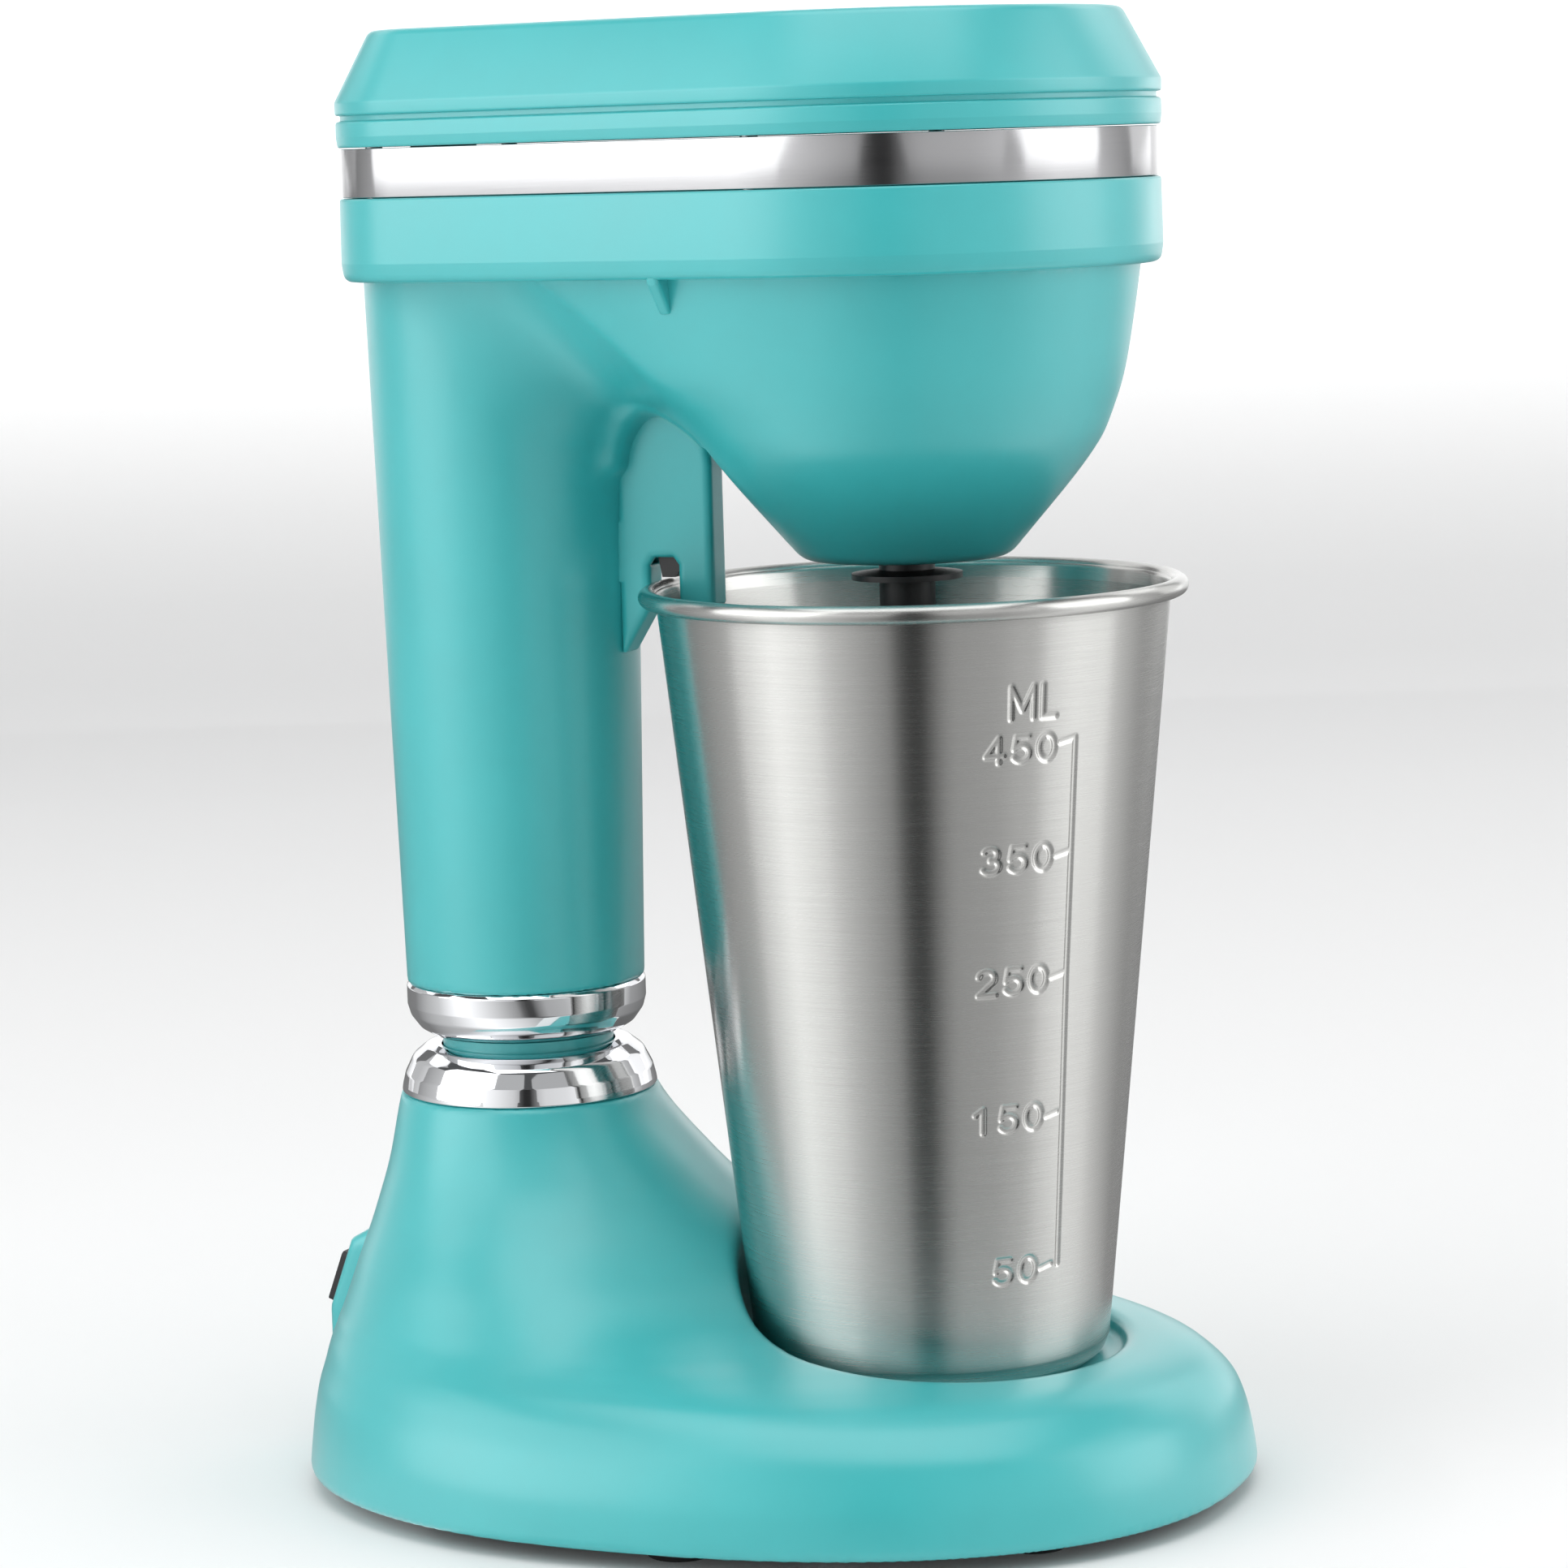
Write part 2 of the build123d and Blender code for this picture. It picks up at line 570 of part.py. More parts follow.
arm_housing.part.label = "arm_housing"
export_step(arm_housing.part, "parts/arm_housing.step")

# ---------------------------------------------------------------- steel band and top cover
with BuildPart() as trim_band:
    with BuildSketch(Plane.XY.offset(SKIRT_TOP_Z + 0.1)):
        add(head_face(BAND_INSET))
        add(head_face(BAND_INSET + BAND_SHEET), mode=Mode.SUBTRACT)
    extrude(amount=BAND_TOP_Z - SKIRT_TOP_Z - 0.2)

trim_band.part.label = "trim_band"
export_step(trim_band.part, "parts/trim_band.step")

COVER_SLOPE = 29.1                  # lean of the cover's sloping flanks from upright
COVER_INSET = 2.6
COVER_SHOULDER_Z = 246.3            # the cavity's flanks begin to lean here
COVER_ROOF_Z = 257.0
BOARD_BOSSES = [(-50, 10), (-50, -10)]
BOARD_TOP_Z = 244.6
BOARD_SCREW_RADIUS = 1.1
BOARD_SCREW_REACH = 6.0             # of the pilot, into the boss

with BuildPart() as cover_cavity:
    with BuildSketch(Plane.XY.offset(BAND_TOP_Z)):
        add(head_face(COVER_INSET))
    extrude(amount=COVER_SHOULDER_Z - BAND_TOP_Z)
    with BuildSketch(Plane.XY.offset(COVER_SHOULDER_Z)):
        add(head_face(COVER_INSET))
    extrude(amount=COVER_ROOF_Z - COVER_SHOULDER_Z, taper=COVER_SLOPE)
    # what is left of these is the screw bosses
    with Locations([(x, y, BAND_TOP_Z) for x, y in COVER_SCREWS]):
        Cylinder(COVER_BOSS_RADIUS, 20, align=BOTTOM, mode=Mode.SUBTRACT)
    with Locations([(x, y, BOARD_TOP_Z) for x, y in BOARD_BOSSES]):
        Cylinder(2.6, 20, align=BOTTOM, mode=Mode.SUBTRACT)

with BuildPart() as top_cover:
    with BuildSketch(Plane.XY.offset(BAND_TOP_Z)):
        add(head_face())
    extrude(amount=GROOVE_Z - BAND_TOP_Z)
    with BuildSketch(Plane.XY.offset(GROOVE_Z)):
        add(head_face(0.8))
    extrude(amount=LIP_BOTTOM_Z - GROOVE_Z)
    with BuildSketch(Plane.XY.offset(LIP_BOTTOM_Z)):
        add(head_face())
    extrude(amount=LIP_TOP_Z - LIP_BOTTOM_Z)
    with BuildSketch(Plane.XY.offset(LIP_TOP_Z)):
        add(head_face())
    extrude(amount=HEAD_TOP_Z - LIP_TOP_Z, taper=COVER_SLOPE)
    fillet(top_cover.faces().sort_by(Axis.Z)[-1].edges(), 1.6)
    add(cover_cavity.part, mode=Mode.SUBTRACT)
    with Locations([(x, y, BAND_TOP_Z) for x, y in COVER_SCREWS]):
        Cylinder(COVER_SCREW_RADIUS, COVER_SCREW_REACH, align=BOTTOM, mode=Mode.SUBTRACT)
    with Locations([(x, y, BOARD_TOP_Z) for x, y in BOARD_BOSSES]):
        Cylinder(BOARD_SCREW_RADIUS, BOARD_SCREW_REACH, align=BOTTOM, mode=Mode.SUBTRACT)

top_cover.part.label = "top_cover"
export_step(top_cover.part, "parts/top_cover.step")

with BuildPart() as cover_screws:
    seat_z = SKIRT_BOTTOM_Z + COVER_SCREW_SINK
    screw_top_z = BAND_TOP_Z + COVER_SCREW_REACH - 0.4
    with Locations([Location((x, y, seat_z), (180, 0, 0)) for x, y in COVER_SCREWS]):
        pan_screw(*COVER_SCREW_HEAD, COVER_SCREW_RADIUS, screw_top_z - seat_z)

cover_screws.part.label = "cover_screws"
export_step(cover_screws.part, "parts/cover_screws.step")

# ---------------------------------------------------------------- cup holder, lever and microswitch
LEVER_PIVOT = (-44.0, 168.0)
LEVER_HALF = 1.3
LEVER_PIN_RADIUS = 1.2
EAR_REAR_X = -52.0
EAR_BOTTOM_Z = 161.2
EAR_TOP_Z = 172.0
SPRING_SEAT_Z = 162.6
SPRING_X = -49.0
BEAM_BOTTOM_Z = 166.0
BEAM_TOP_Z = 170.0
NOTCH_REAR_X = -19.0                # notch around the cup's rolled rim
NOTCH_FRONT_X = -13.4
NOTCH_TOP_Z = 165.5
BRACKET_SHEET = 1.4
BRACKET_SCREW_RADIUS = 1.0
BRACKET_SCREWS = [(-41.0, 164.0), (-33.0, 164.0)]
MICROSWITCH_SCREWS = [(-46.0, 179.0), (-36.0, 179.0)]
MICROSWITCH_LOW = (-50.0, 172.5)    # rear lower corner of the microswitch as (x, z)
MICROSWITCH_SIZE = (19.0, 9.0)
MICROSWITCH_HALF = 3.2
PLUNGER_X = -34.0
PLUNGER_GAP = 0.25

with BuildPart() as cup_holder:
    with BuildSketch(SIDE_PLANE):
        add(
            outline_face(
                [
                    (-24.65, 148.5),
                    (-24.0, 148.5),
                    (NOTCH_REAR_X - 0.3, 156.0),
                    (NOTCH_REAR_X, 156.6),
                    (NOTCH_REAR_X, NOTCH_TOP_Z - 1.5),
                    (NOTCH_REAR_X + 1.2, NOTCH_TOP_Z),
                    (NOTCH_FRONT_X - 1.2, NOTCH_TOP_Z),
                    (NOTCH_FRONT_X, NOTCH_TOP_Z - 1.5),
                    (NOTCH_FRONT_X, 157.0),
                    (NOTCH_FRONT_X + 0.7, 156.4),
                    (-7.6, 156.4),
                    (-6.6, 157.4),
                    (-6.6, 182.0),
                    (-7.5, 186.4),
                    (-12.8, 190.6),
                    (-17.6, 193.1),
                    (-22.4, 189.6),
                    (-23.8, 186.0),
                ]
            )
        )
    extrude(amount=HOLDER_HALF, both=True)
    # tongue that runs through the column's window
    with BuildSketch(SIDE_PLANE):
        add(
            outline_face(
                [
                    (EAR_REAR_X, EAR_BOTTOM_Z),
                    (-24.0, EAR_BOTTOM_Z),
                    (-24.0, EAR_TOP_Z),
                    (EAR_REAR_X, EAR_TOP_Z),
                ]
            )
        )
    extrude(amount=HOLDER_HALF, both=True)
    # slot for the lever: closed above in front of the column, open above behind its wall
    with BuildSketch(SIDE_PLANE):
        add(
            outline_face(
                [
                    (EAR_REAR_X, SPRING_SEAT_Z),
                    (-25.0, SPRING_SEAT_Z),
                    (-25.0, 164.2),
                    (-12.2, 164.2),
                    (-12.2, 174.6),
                    (EAR_REAR_X, 174.6),
                ]
            )
        )
    extrude(amount=LEVER_SLOT_HALF, both=True, mode=Mode.SUBTRACT)
    with BuildSketch(SIDE_PLANE):
        with Locations(LEVER_PIVOT):
            Circle(LEVER_PIN_RADIUS)
        with Locations(BRACKET_SCREWS):
            Circle(BRACKET_SCREW_RADIUS)
    extrude(amount=HOLDER_HALF, both=True, mode=Mode.SUBTRACT)
    for screw_z in HOLDER_SCREWS_Z:
        with BuildSketch(Plane.YZ.offset(-25.0)):
            with Locations((0, screw_z)):
                Circle(HOLDER_SCREW_RADIUS)
        extrude(amount=12.5, mode=Mode.SUBTRACT)

cup_holder.part.label = "cup_holder"
export_step(cup_holder.part, "parts/cup_holder.step")

with BuildPart() as holder_screws:
    for screw_z in HOLDER_SCREWS_Z:
        with Locations(Location((-26.85, 0, screw_z), (0, -90, 0))):
            pan_screw(2.4, 1.8, HOLDER_SCREW_RADIUS, 13.5)

holder_screws.part.label = "holder_screws"
export_step(holder_screws.part, "parts/holder_screws.step")

with BuildPart() as cup_lever:
    with BuildSketch(SIDE_PLANE):
        add(
            outline_face(
                [
                    (-51.0, BEAM_BOTTOM_Z),
                    (-18.0, BEAM_BOTTOM_Z),
                    (-17.2, 161.9),
                    (-14.8, 161.9),
                    (-13.8, 163.2),
                    (-13.8, 169.0),
                    (-14.8, BEAM_TOP_Z),
                    (-51.0, BEAM_TOP_Z),
                ]
            )
        )
        with Locations(LEVER_PIVOT):
            Circle(2.8)
            Circle(LEVER_PIN_RADIUS + RUNNING_FIT, mode=Mode.SUBTRACT)
    extrude(amount=LEVER_HALF, both=True)

cup_lever.part.label = "cup_lever"
export_step(cup_lever.part, "parts/cup_lever.step")

with BuildPart() as lever_pin:
    with BuildSketch(SIDE_PLANE):
        with Locations(LEVER_PIVOT):
            Circle(LEVER_PIN_RADIUS)
    extrude(amount=HOLDER_HALF + 0.9, both=True)

lever_pin.part.label = "lever_pin"
export_step(lever_pin.part, "parts/lever_pin.step")

with BuildPart() as lever_spring:
    spring_height = BEAM_BOTTOM_Z - SPRING_SEAT_Z
    wire = 0.24
    with BuildLine(Plane.XY.offset(SPRING_SEAT_Z + wire)) as spring_line:
        Helix(
            pitch=(spring_height - 2 * wire) / 4,
            height=spring_height - 2 * wire,
            radius=1.3,
            center=(SPRING_X, 0, 0),
        )
    with BuildSketch(Plane(origin=spring_line.line @ 0, z_dir=spring_line.line % 0)):
        Circle(wire)
    sweep(path=spring_line.line)

lever_spring.part.label = "lever_spring"
export_step(lever_spring.part, "parts/lever_spring.step")

with BuildPart() as switch_bracket:
    with BuildSketch(Plane.XZ.offset(-HOLDER_HALF)):
        with Locations((MICROSWITCH_LOW[0] + MICROSWITCH_SIZE[0] / 2, 172.0)):
            RectangleRounded(MICROSWITCH_SIZE[0], 19.8, 1.5)
        with Locations(LEVER_PIVOT):
            Circle(LEVER_PIN_RADIUS + 0.3, mode=Mode.SUBTRACT)
        with Locations(BRACKET_SCREWS + MICROSWITCH_SCREWS):
            Circle(BRACKET_SCREW_RADIUS, mode=Mode.SUBTRACT)
    extrude(amount=-BRACKET_SHEET)

switch_bracket.part.label = "switch_bracket"
export_step(switch_bracket.part, "parts/switch_bracket.step")

with BuildPart() as microswitch:
    with BuildSketch(SIDE_PLANE):
        with Locations(MICROSWITCH_LOW):
            Rectangle(*MICROSWITCH_SIZE, align=(Align.MIN, Align.MIN))
        with Locations(MICROSWITCH_SCREWS):
            Circle(BRACKET_SCREW_RADIUS + 0.1, mode=Mode.SUBTRACT)
    extrude(amount=MICROSWITCH_HALF, both=True)
    with Locations((PLUNGER_X, 0, MICROSWITCH_LOW[1])):
        Box(2.0, 3.0, 4.5, align=BOTTOM, mode=Mode.SUBTRACT)
    # three blades on top
    with Locations([(x, 0, MICROSWITCH_LOW[1] + MICROSWITCH_SIZE[1]) for x in (-48, -41, -34)]):
        Box(0.6, 3.2, 5.0, align=BOTTOM)

microswitch.part.label = "microswitch"
export_step(microswitch.part, "parts/microswitch.step")

with BuildPart() as microswitch_screws:
    with Locations([Location((x, -MICROSWITCH_HALF, z), (90, 0, 0)) for x, z in MICROSWITCH_SCREWS]):
        pan_screw(1.9, 1.2, BRACKET_SCREW_RADIUS, MICROSWITCH_HALF + HOLDER_HALF + BRACKET_SHEET)
    with Locations([Location((x, -HOLDER_HALF, z), (90, 0, 0)) for x, z in BRACKET_SCREWS]):
        pan_screw(1.9, 1.2, BRACKET_SCREW_RADIUS, 2 * HOLDER_HALF + BRACKET_SHEET)

microswitch_screws.part.label = "microswitch_screws"
export_step(microswitch_screws.part, "parts/microswitch_screws.step")

with BuildPart() as switch_plunger:
    with Locations((PLUNGER_X, 0, BEAM_TOP_Z + PLUNGER_GAP)):
        Box(1.7, 2.7, 4.4, align=BOTTOM)

switch_plunger.part.label = "switch_plunger"
export_step(switch_plunger.part, "parts/switch_plunger.step")

# ---------------------------------------------------------------- rear switch and mains inlet
POCKET_DEPTH = 7.0
ROCKER_AXIS_RADIUS = 0.9
ROCKER_HALF = 3.2
TRUNNION_HALF = 3.9

with BuildPart() as switch_housing:
    with BuildSketch(SWITCH_PLANE):
        Rectangle(*SWITCH_BODY)
    extrude(amount=-SWITCH_DEPTH)
    with BuildSketch(SWITCH_PLANE):
        RectangleRounded(*SWITCH_BEZEL, 0.6)
    extrude(amount=SWITCH_BEZEL_HEIGHT)
    with BuildSketch(SWITCH_PLANE.offset(SWITCH_BEZEL_HEIGHT)):
        Rectangle(*ROCKER_POCKET)
    extrude(amount=-SWITCH_BEZEL_HEIGHT - POCKET_DEPTH, mode=Mode.SUBTRACT)
    rocker_origin = SWITCH_PLANE.from_local_coords((0, 0, -ROCKER_PIVOT_DEPTH))
    rocker_plane = Plane(
        origin=rocker_origin,
        x_dir=SWITCH_PLANE.x_dir,
        z_dir=SWITCH_PLANE.y_dir,
    )
    with BuildSketch(rocker_plane):
        Circle(ROCKER_AXIS_RADIUS + RUNNING_FIT)
    extrude(amount=TRUNNION_HALF + RUNNING_FIT, both=True, mode=Mode.SUBTRACT)

switch_housing.part.label = "switch_housing"
export_step(switch_housing.part, "parts/switch_housing.step")

with BuildPart() as switch_rocker:
    # seen along its pivot, the plane's own Y points into the switch
    with BuildSketch(rocker_plane):
        add(
            outline_face(
                [
                    (-4.9, -4.0),
                    (0, -3.1),
                    (4.9, -4.0),
                    (5.2, 0),
                    (3.2, 2.6),
                    (-3.2, 2.6),
                    (-5.2, 0),
                ]
            )
        )
    extrude(amount=ROCKER_HALF, both=True)
    with BuildSketch(rocker_plane):
        Circle(ROCKER_AXIS_RADIUS)
    extrude(amount=TRUNNION_HALF, both=True)

switch_rocker.part.label = "switch_rocker"
export_step(switch_rocker.part, "parts/switch_rocker.step")

with BuildPart() as switch_terminals:
    with BuildSketch(SWITCH_PLANE.offset(-SWITCH_DEPTH)):
        with Locations((-4, 0), (0, 0), (4, 0)):
            Rectangle(0.8, 4.8)
    extrude(amount=-6)

switch_terminals.part.label = "switch_terminals"
export_step(switch_terminals.part, "parts/switch_terminals.step")

with BuildPart() as cord_gland:
    gland_plane = Plane.YZ.offset(PANEL_FOOT_X)
    with BuildSketch(gland_plane):
        with Locations((0, GLAND_Z)):
            Circle(GLAND_FLANGE[0] - 0.1)
    extrude(amount=GLAND_FLANGE[1])
    with BuildSketch(gland_plane):
        with Locations((0, GLAND_Z)):
            Circle(GLAND_BODY_RADIUS - 0.1)
    extrude(amount=GLAND_LENGTH)
    with BuildSketch(gland_plane):
        with Locations((0, GLAND_Z)):
            Circle(GLAND_BORE)
    extrude(amount=GLAND_LENGTH, mode=Mode.SUBTRACT)

cord_gland.part.label = "cord_gland"
export_step(cord_gland.part, "parts/cord_gland.step")

with BuildPart() as wiring_loom:
    with BuildLine() as loom_line:
        FilletPolyline(
            (-64.0, 0, 23.0),
            (-58.0, 0, 33.0),
            (COLUMN_X, 0, 48.0),
            (COLUMN_X, 0, 102.0),
            (-59.0, 0, 122.0),
            (-59.0, 0, 206.0),
            (-46.0, 0, 225.0),
            (3.0, 0, 225.0),
            radius=7.0,
        )
    with BuildSketch(Plane(origin=loom_line.line @ 0, z_dir=loom_line.line % 0)):
        Circle(1.8)
    sweep(path=loom_line.line)

wiring_loom.part.label = "wiring_loom"
export_step(wiring_loom.part, "parts/wiring_loom.step")

# ---------------------------------------------------------------- motor, standing still
DAMPER_HEIGHT = 2.0
PLATE_BOTTOM_Z = MOTOR_POST_TOP_Z + DAMPER_HEIGHT
PLATE_SHEET = 2.5
STACK_BOTTOM_Z = 197.0
STACK_TOP_Z = 217.0
STACK_SIZE = (46.0, 50.0)
STATOR_BORE = 12.0
POLE_HALF = 7.3
SLOT_OUTER_X = 15.0
SLOT_Y = (14.6, 20.2)
COIL_BOTTOM_Z = 192.0
COIL_TOP_Z = 222.0
BOLT_X = 20.75
BOLT_RADIUS = 1.5
BEARING_RADIUS = 5.5
HUB_RADIUS = 7.5
LOWER_BEARING_Z = (178.5, 184.5)
UPPER_PLATE_Z = 230.0
UPPER_BEARING_Z = (232.5, 237.5)
BRUSH_Z = (223.6, 228.4)
BRUSH_HALF = 2.0
BRUSH_Y = (8.15, 15.0)
HOLDER_Y = (10.0, 21.0)

with BuildPart() as mount_dampers:
    with Locations((SPINDLE_X, 0, MOTOR_POST_TOP_Z)):
        with PolarLocations(MOTOR_POSTS_RADIUS, 4, start_angle=45):
            Cylinder(3.8, DAMPER_HEIGHT, align=BOTTOM)
            Cylinder(MOTOR_SCREW_RADIUS + 0.2, DAMPER_HEIGHT, align=BOTTOM, mode=Mode.SUBTRACT)

mount_dampers.part.label = "mount_dampers"
export_step(mount_dampers.part, "parts/mount_dampers.step")

with BuildPart() as lower_bracket:
    with BuildSketch(SPINDLE_PLANE):
        add(ring_face(0, 28.5, PLATE_BOTTOM_Z, PLATE_BOTTOM_Z + PLATE_SHEET))
        add(ring_face(0, HUB_RADIUS, LOWER_BEARING_Z[0] - 1.0, PLATE_BOTTOM_Z + PLATE_SHEET))
    revolve(axis=SPINDLE_AXIS)
    # pillars under the stator
    with Locations((SPINDLE_X + BOLT_X, 0, PLATE_BOTTOM_Z), (SPINDLE_X - BOLT_X, 0, PLATE_BOTTOM_Z)):
        Cylinder(3.6, STACK_BOTTOM_Z - PLATE_BOTTOM_Z, align=BOTTOM)
        Cylinder(BOLT_RADIUS, STACK_BOTTOM_Z - PLATE_BOTTOM_Z, align=BOTTOM, mode=Mode.SUBTRACT)
    # bearing seat, shaft hole and air slots
    with Locations((SPINDLE_X, 0, LOWER_BEARING_Z[0])):
        Cylinder(BEARING_RADIUS, 12, align=BOTTOM, mode=Mode.SUBTRACT)
        Cylinder(SHAFT_RADIUS + 0.6, 8, mode=Mode.SUBTRACT)
    with Locations((SPINDLE_X, 0, PLATE_BOTTOM_Z)):
        with PolarLocations(17.0, 2, start_angle=90):
            Box(11, 15, PLATE_SHEET, align=BOTTOM, mode=Mode.SUBTRACT)
        with PolarLocations(MOTOR_POSTS_RADIUS, 4, start_angle=45):
            Cylinder(MOTOR_SCREW_RADIUS + 0.2, PLATE_SHEET, align=BOTTOM, mode=Mode.SUBTRACT)

lower_bracket.part.label = "lower_bracket"
export_step(lower_bracket.part, "parts/lower_bracket.step")

with BuildPart() as mount_screws:
    with Locations((SPINDLE_X, 0, PLATE_BOTTOM_Z + PLATE_SHEET)):
        with PolarLocations(MOTOR_POSTS_RADIUS, 4, start_angle=45):
            pan_screw(
                2.6,
                1.8,
                MOTOR_SCREW_RADIUS,
                PLATE_SHEET + DAMPER_HEIGHT + MOTOR_SCREW_DEPTH - 0.2,
            )

mount_screws.part.label = "mount_screws"
export_step(mount_screws.part, "parts/mount_screws.step")

with BuildPart() as motor_stator:
    with BuildSketch(Plane.XY.offset(STACK_BOTTOM_Z)):
        with Locations((SPINDLE_X, 0)):
            RectangleRounded(*STACK_SIZE, 12.0)
            Circle(STATOR_BORE, mode=Mode.SUBTRACT)
        slot_x = (POLE_HALF + SLOT_OUTER_X) / 2
        slot_y = (SLOT_Y[0] + SLOT_Y[1]) / 2
        with Locations((SPINDLE_X, 0)):
            with GridLocations(2 * slot_x, 2 * slot_y, 2, 2):
                Rectangle(
                    SLOT_OUTER_X - POLE_HALF + 0.2,
                    SLOT_Y[1] - SLOT_Y[0] + 0.2,
                    mode=Mode.SUBTRACT,
                )
            with GridLocations(2 * BOLT_X, 0, 2, 1):
                Circle(BOLT_RADIUS + 0.1, mode=Mode.SUBTRACT)
    extrude(amount=STACK_TOP_Z - STACK_BOTTOM_Z)

motor_stator.part.label = "motor_stator"
export_step(motor_stator.part, "parts/motor_stator.step")

with BuildPart() as field_coils:
    for side in (1, -1):
        with BuildSketch(Plane.XZ.offset(-side * (SLOT_Y[0] + SLOT_Y[1]) / 2)):
            with Locations((SPINDLE_X, (COIL_BOTTOM_Z + COIL_TOP_Z) / 2)):
                RectangleRounded(2 * SLOT_OUTER_X, COIL_TOP_Z - COIL_BOTTOM_Z, 4.0)
                Rectangle(2 * POLE_HALF, STACK_TOP_Z - STACK_BOTTOM_Z + 0.1, mode=Mode.SUBTRACT)
        extrude(amount=(SLOT_Y[1] - SLOT_Y[0]) / 2, both=True)

field_coils.part.label = "field_coils"
export_step(field_coils.part, "parts/field_coils.step")

with BuildPart() as upper_bracket:
    with BuildSketch(SPINDLE_PLANE):
        add(ring_face(0, 24.0, UPPER_PLATE_Z, UPPER_BEARING_Z[0]))
        add(ring_face(0, HUB_RADIUS, UPPER_PLATE_Z, UPPER_BEARING_Z[1] + 0.5))
    revolve(axis=SPINDLE_AXIS)
    # legs on the stator
    with Locations((SPINDLE_X, 0, STACK_TOP_Z)):
        with GridLocations(2 * BOLT_X, 0, 2, 1):
            Box(5.0, 8.0, UPPER_PLATE_Z - STACK_TOP_Z, align=BOTTOM)
            Cylinder(
                BOLT_RADIUS + 0.1,
                UPPER_BEARING_Z[0] - STACK_TOP_Z,
                align=BOTTOM,
                mode=Mode.SUBTRACT,
            )
    with Locations((SPINDLE_X, 0, UPPER_PLATE_Z)):
        Cylinder(SHAFT_RADIUS + 0.6, 3, align=BOTTOM, mode=Mode.SUBTRACT)
    with Locations((SPINDLE_X, 0, UPPER_BEARING_Z[0])):
        Cylinder(BEARING_RADIUS, 8, align=BOTTOM, mode=Mode.SUBTRACT)

upper_bracket.part.label = "upper_bracket"
export_step(upper_bracket.part, "parts/upper_bracket.step")

with BuildPart() as motor_bolts:
    with Locations((SPINDLE_X, 0, UPPER_BEARING_Z[0])):
        with GridLocations(2 * BOLT_X, 0, 2, 1):
            pan_screw(2.8, 1.8, BOLT_RADIUS, UPPER_BEARING_Z[0] - PLATE_BOTTOM_Z - 0.5)

motor_bolts.part.label = "motor_bolts"
export_step(motor_bolts.part, "parts/motor_bolts.step")

with BuildPart() as lower_bearing:
    with BuildSketch(SPINDLE_PLANE):
        add(ring_face(SHAFT_RADIUS + RUNNING_FIT, BEARING_RADIUS, *LOWER_BEARING_Z))
    revolve(axis=SPINDLE_AXIS)

lower_bearing.part.label = "lower_bearing"
export_step(lower_bearing.part, "parts/lower_bearing.step")

with BuildPart() as upper_bearing:
    with BuildSketch(SPINDLE_PLANE):
        add(ring_face(SHAFT_RADIUS + RUNNING_FIT, BEARING_RADIUS, *UPPER_BEARING_Z))
    revolve(axis=SPINDLE_AXIS)

upper_bearing.part.label = "upper_bearing"
export_step(upper_bearing.part, "parts/upper_bearing.step")

# brush gear: one set on each side of the commutator
BRUSH_MIDDLE_Z = (BRUSH_Z[0] + BRUSH_Z[1]) / 2
BRUSH_HEIGHT = BRUSH_Z[1] - BRUSH_Z[0]

with BuildPart() as brush_holders:
    for side in (1, -1):
        with BuildSketch(Plane.XZ.offset(-side * HOLDER_Y[0])):
            with Locations((SPINDLE_X, BRUSH_MIDDLE_Z)):
                Rectangle(2 * BRUSH_HALF + 1.8, BRUSH_HEIGHT + 1.8)
                Rectangle(2 * BRUSH_HALF + 0.2, BRUSH_HEIGHT + 0.2, mode=Mode.SUBTRACT)
        extrude(amount=-side * (HOLDER_Y[1] - HOLDER_Y[0]))
        # closed outer end and the foot under the bracket
        with Locations((SPINDLE_X, side * HOLDER_Y[1], BRUSH_MIDDLE_Z)):
            Box(2 * BRUSH_HALF + 1.8, 0.8, BRUSH_HEIGHT + 1.8)
        with Locations((SPINDLE_X, side * (HOLDER_Y[0] + HOLDER_Y[1]) / 2, UPPER_PLATE_Z)):
            Box(6.4, 6.0, UPPER_PLATE_Z - BRUSH_Z[1] - 0.5, align=TOP)

brush_holders.part.label = "brush_holders"
export_step(brush_holders.part, "parts/brush_holders.step")

with BuildPart() as carbon_brushes:
    for side in (1, -1):
        with Locations((SPINDLE_X, side * (BRUSH_Y[0] + BRUSH_Y[1]) / 2, BRUSH_MIDDLE_Z)):
            Box(2 * BRUSH_HALF, BRUSH_Y[1] - BRUSH_Y[0], BRUSH_HEIGHT)

carbon_brushes.part.label = "carbon_brushes"
export_step(carbon_brushes.part, "parts/carbon_brushes.step")

with BuildPart() as brush_springs:
    for side in (1, -1):
        spring_length = HOLDER_Y[1] - 0.4 - BRUSH_Y[1]
        with BuildLine() as spring_line:
            Helix(
                pitch=(spring_length - 0.5) / 4,
                height=spring_length - 0.5,
                radius=1.5,
                center=(SPINDLE_X, side * (BRUSH_Y[1] + 0.25), BRUSH_MIDDLE_Z),
                direction=(0, side, 0),
            )
        with BuildSketch(Plane(origin=spring_line.line @ 0, z_dir=spring_line.line % 0)):
            Circle(0.25)
        sweep(path=spring_line.line)

brush_springs.part.label = "brush_springs"
export_step(brush_springs.part, "parts/brush_springs.step")

# ---------------------------------------------------------------- motor, turning
SHAFT_BOTTOM_Z = 152.0
SHAFT_FLAT_TOP_Z = 163.0
SHAFT_FLAT = 2.0
ARMATURE_RADIUS = 11.5
WINDING_RADIUS = 10.5
COMMUTATOR_RADIUS = 8.0
FAN_RADIUS = 17.0
FAN_Z = (170.5, 175.0)
FAN_BLADES = 10

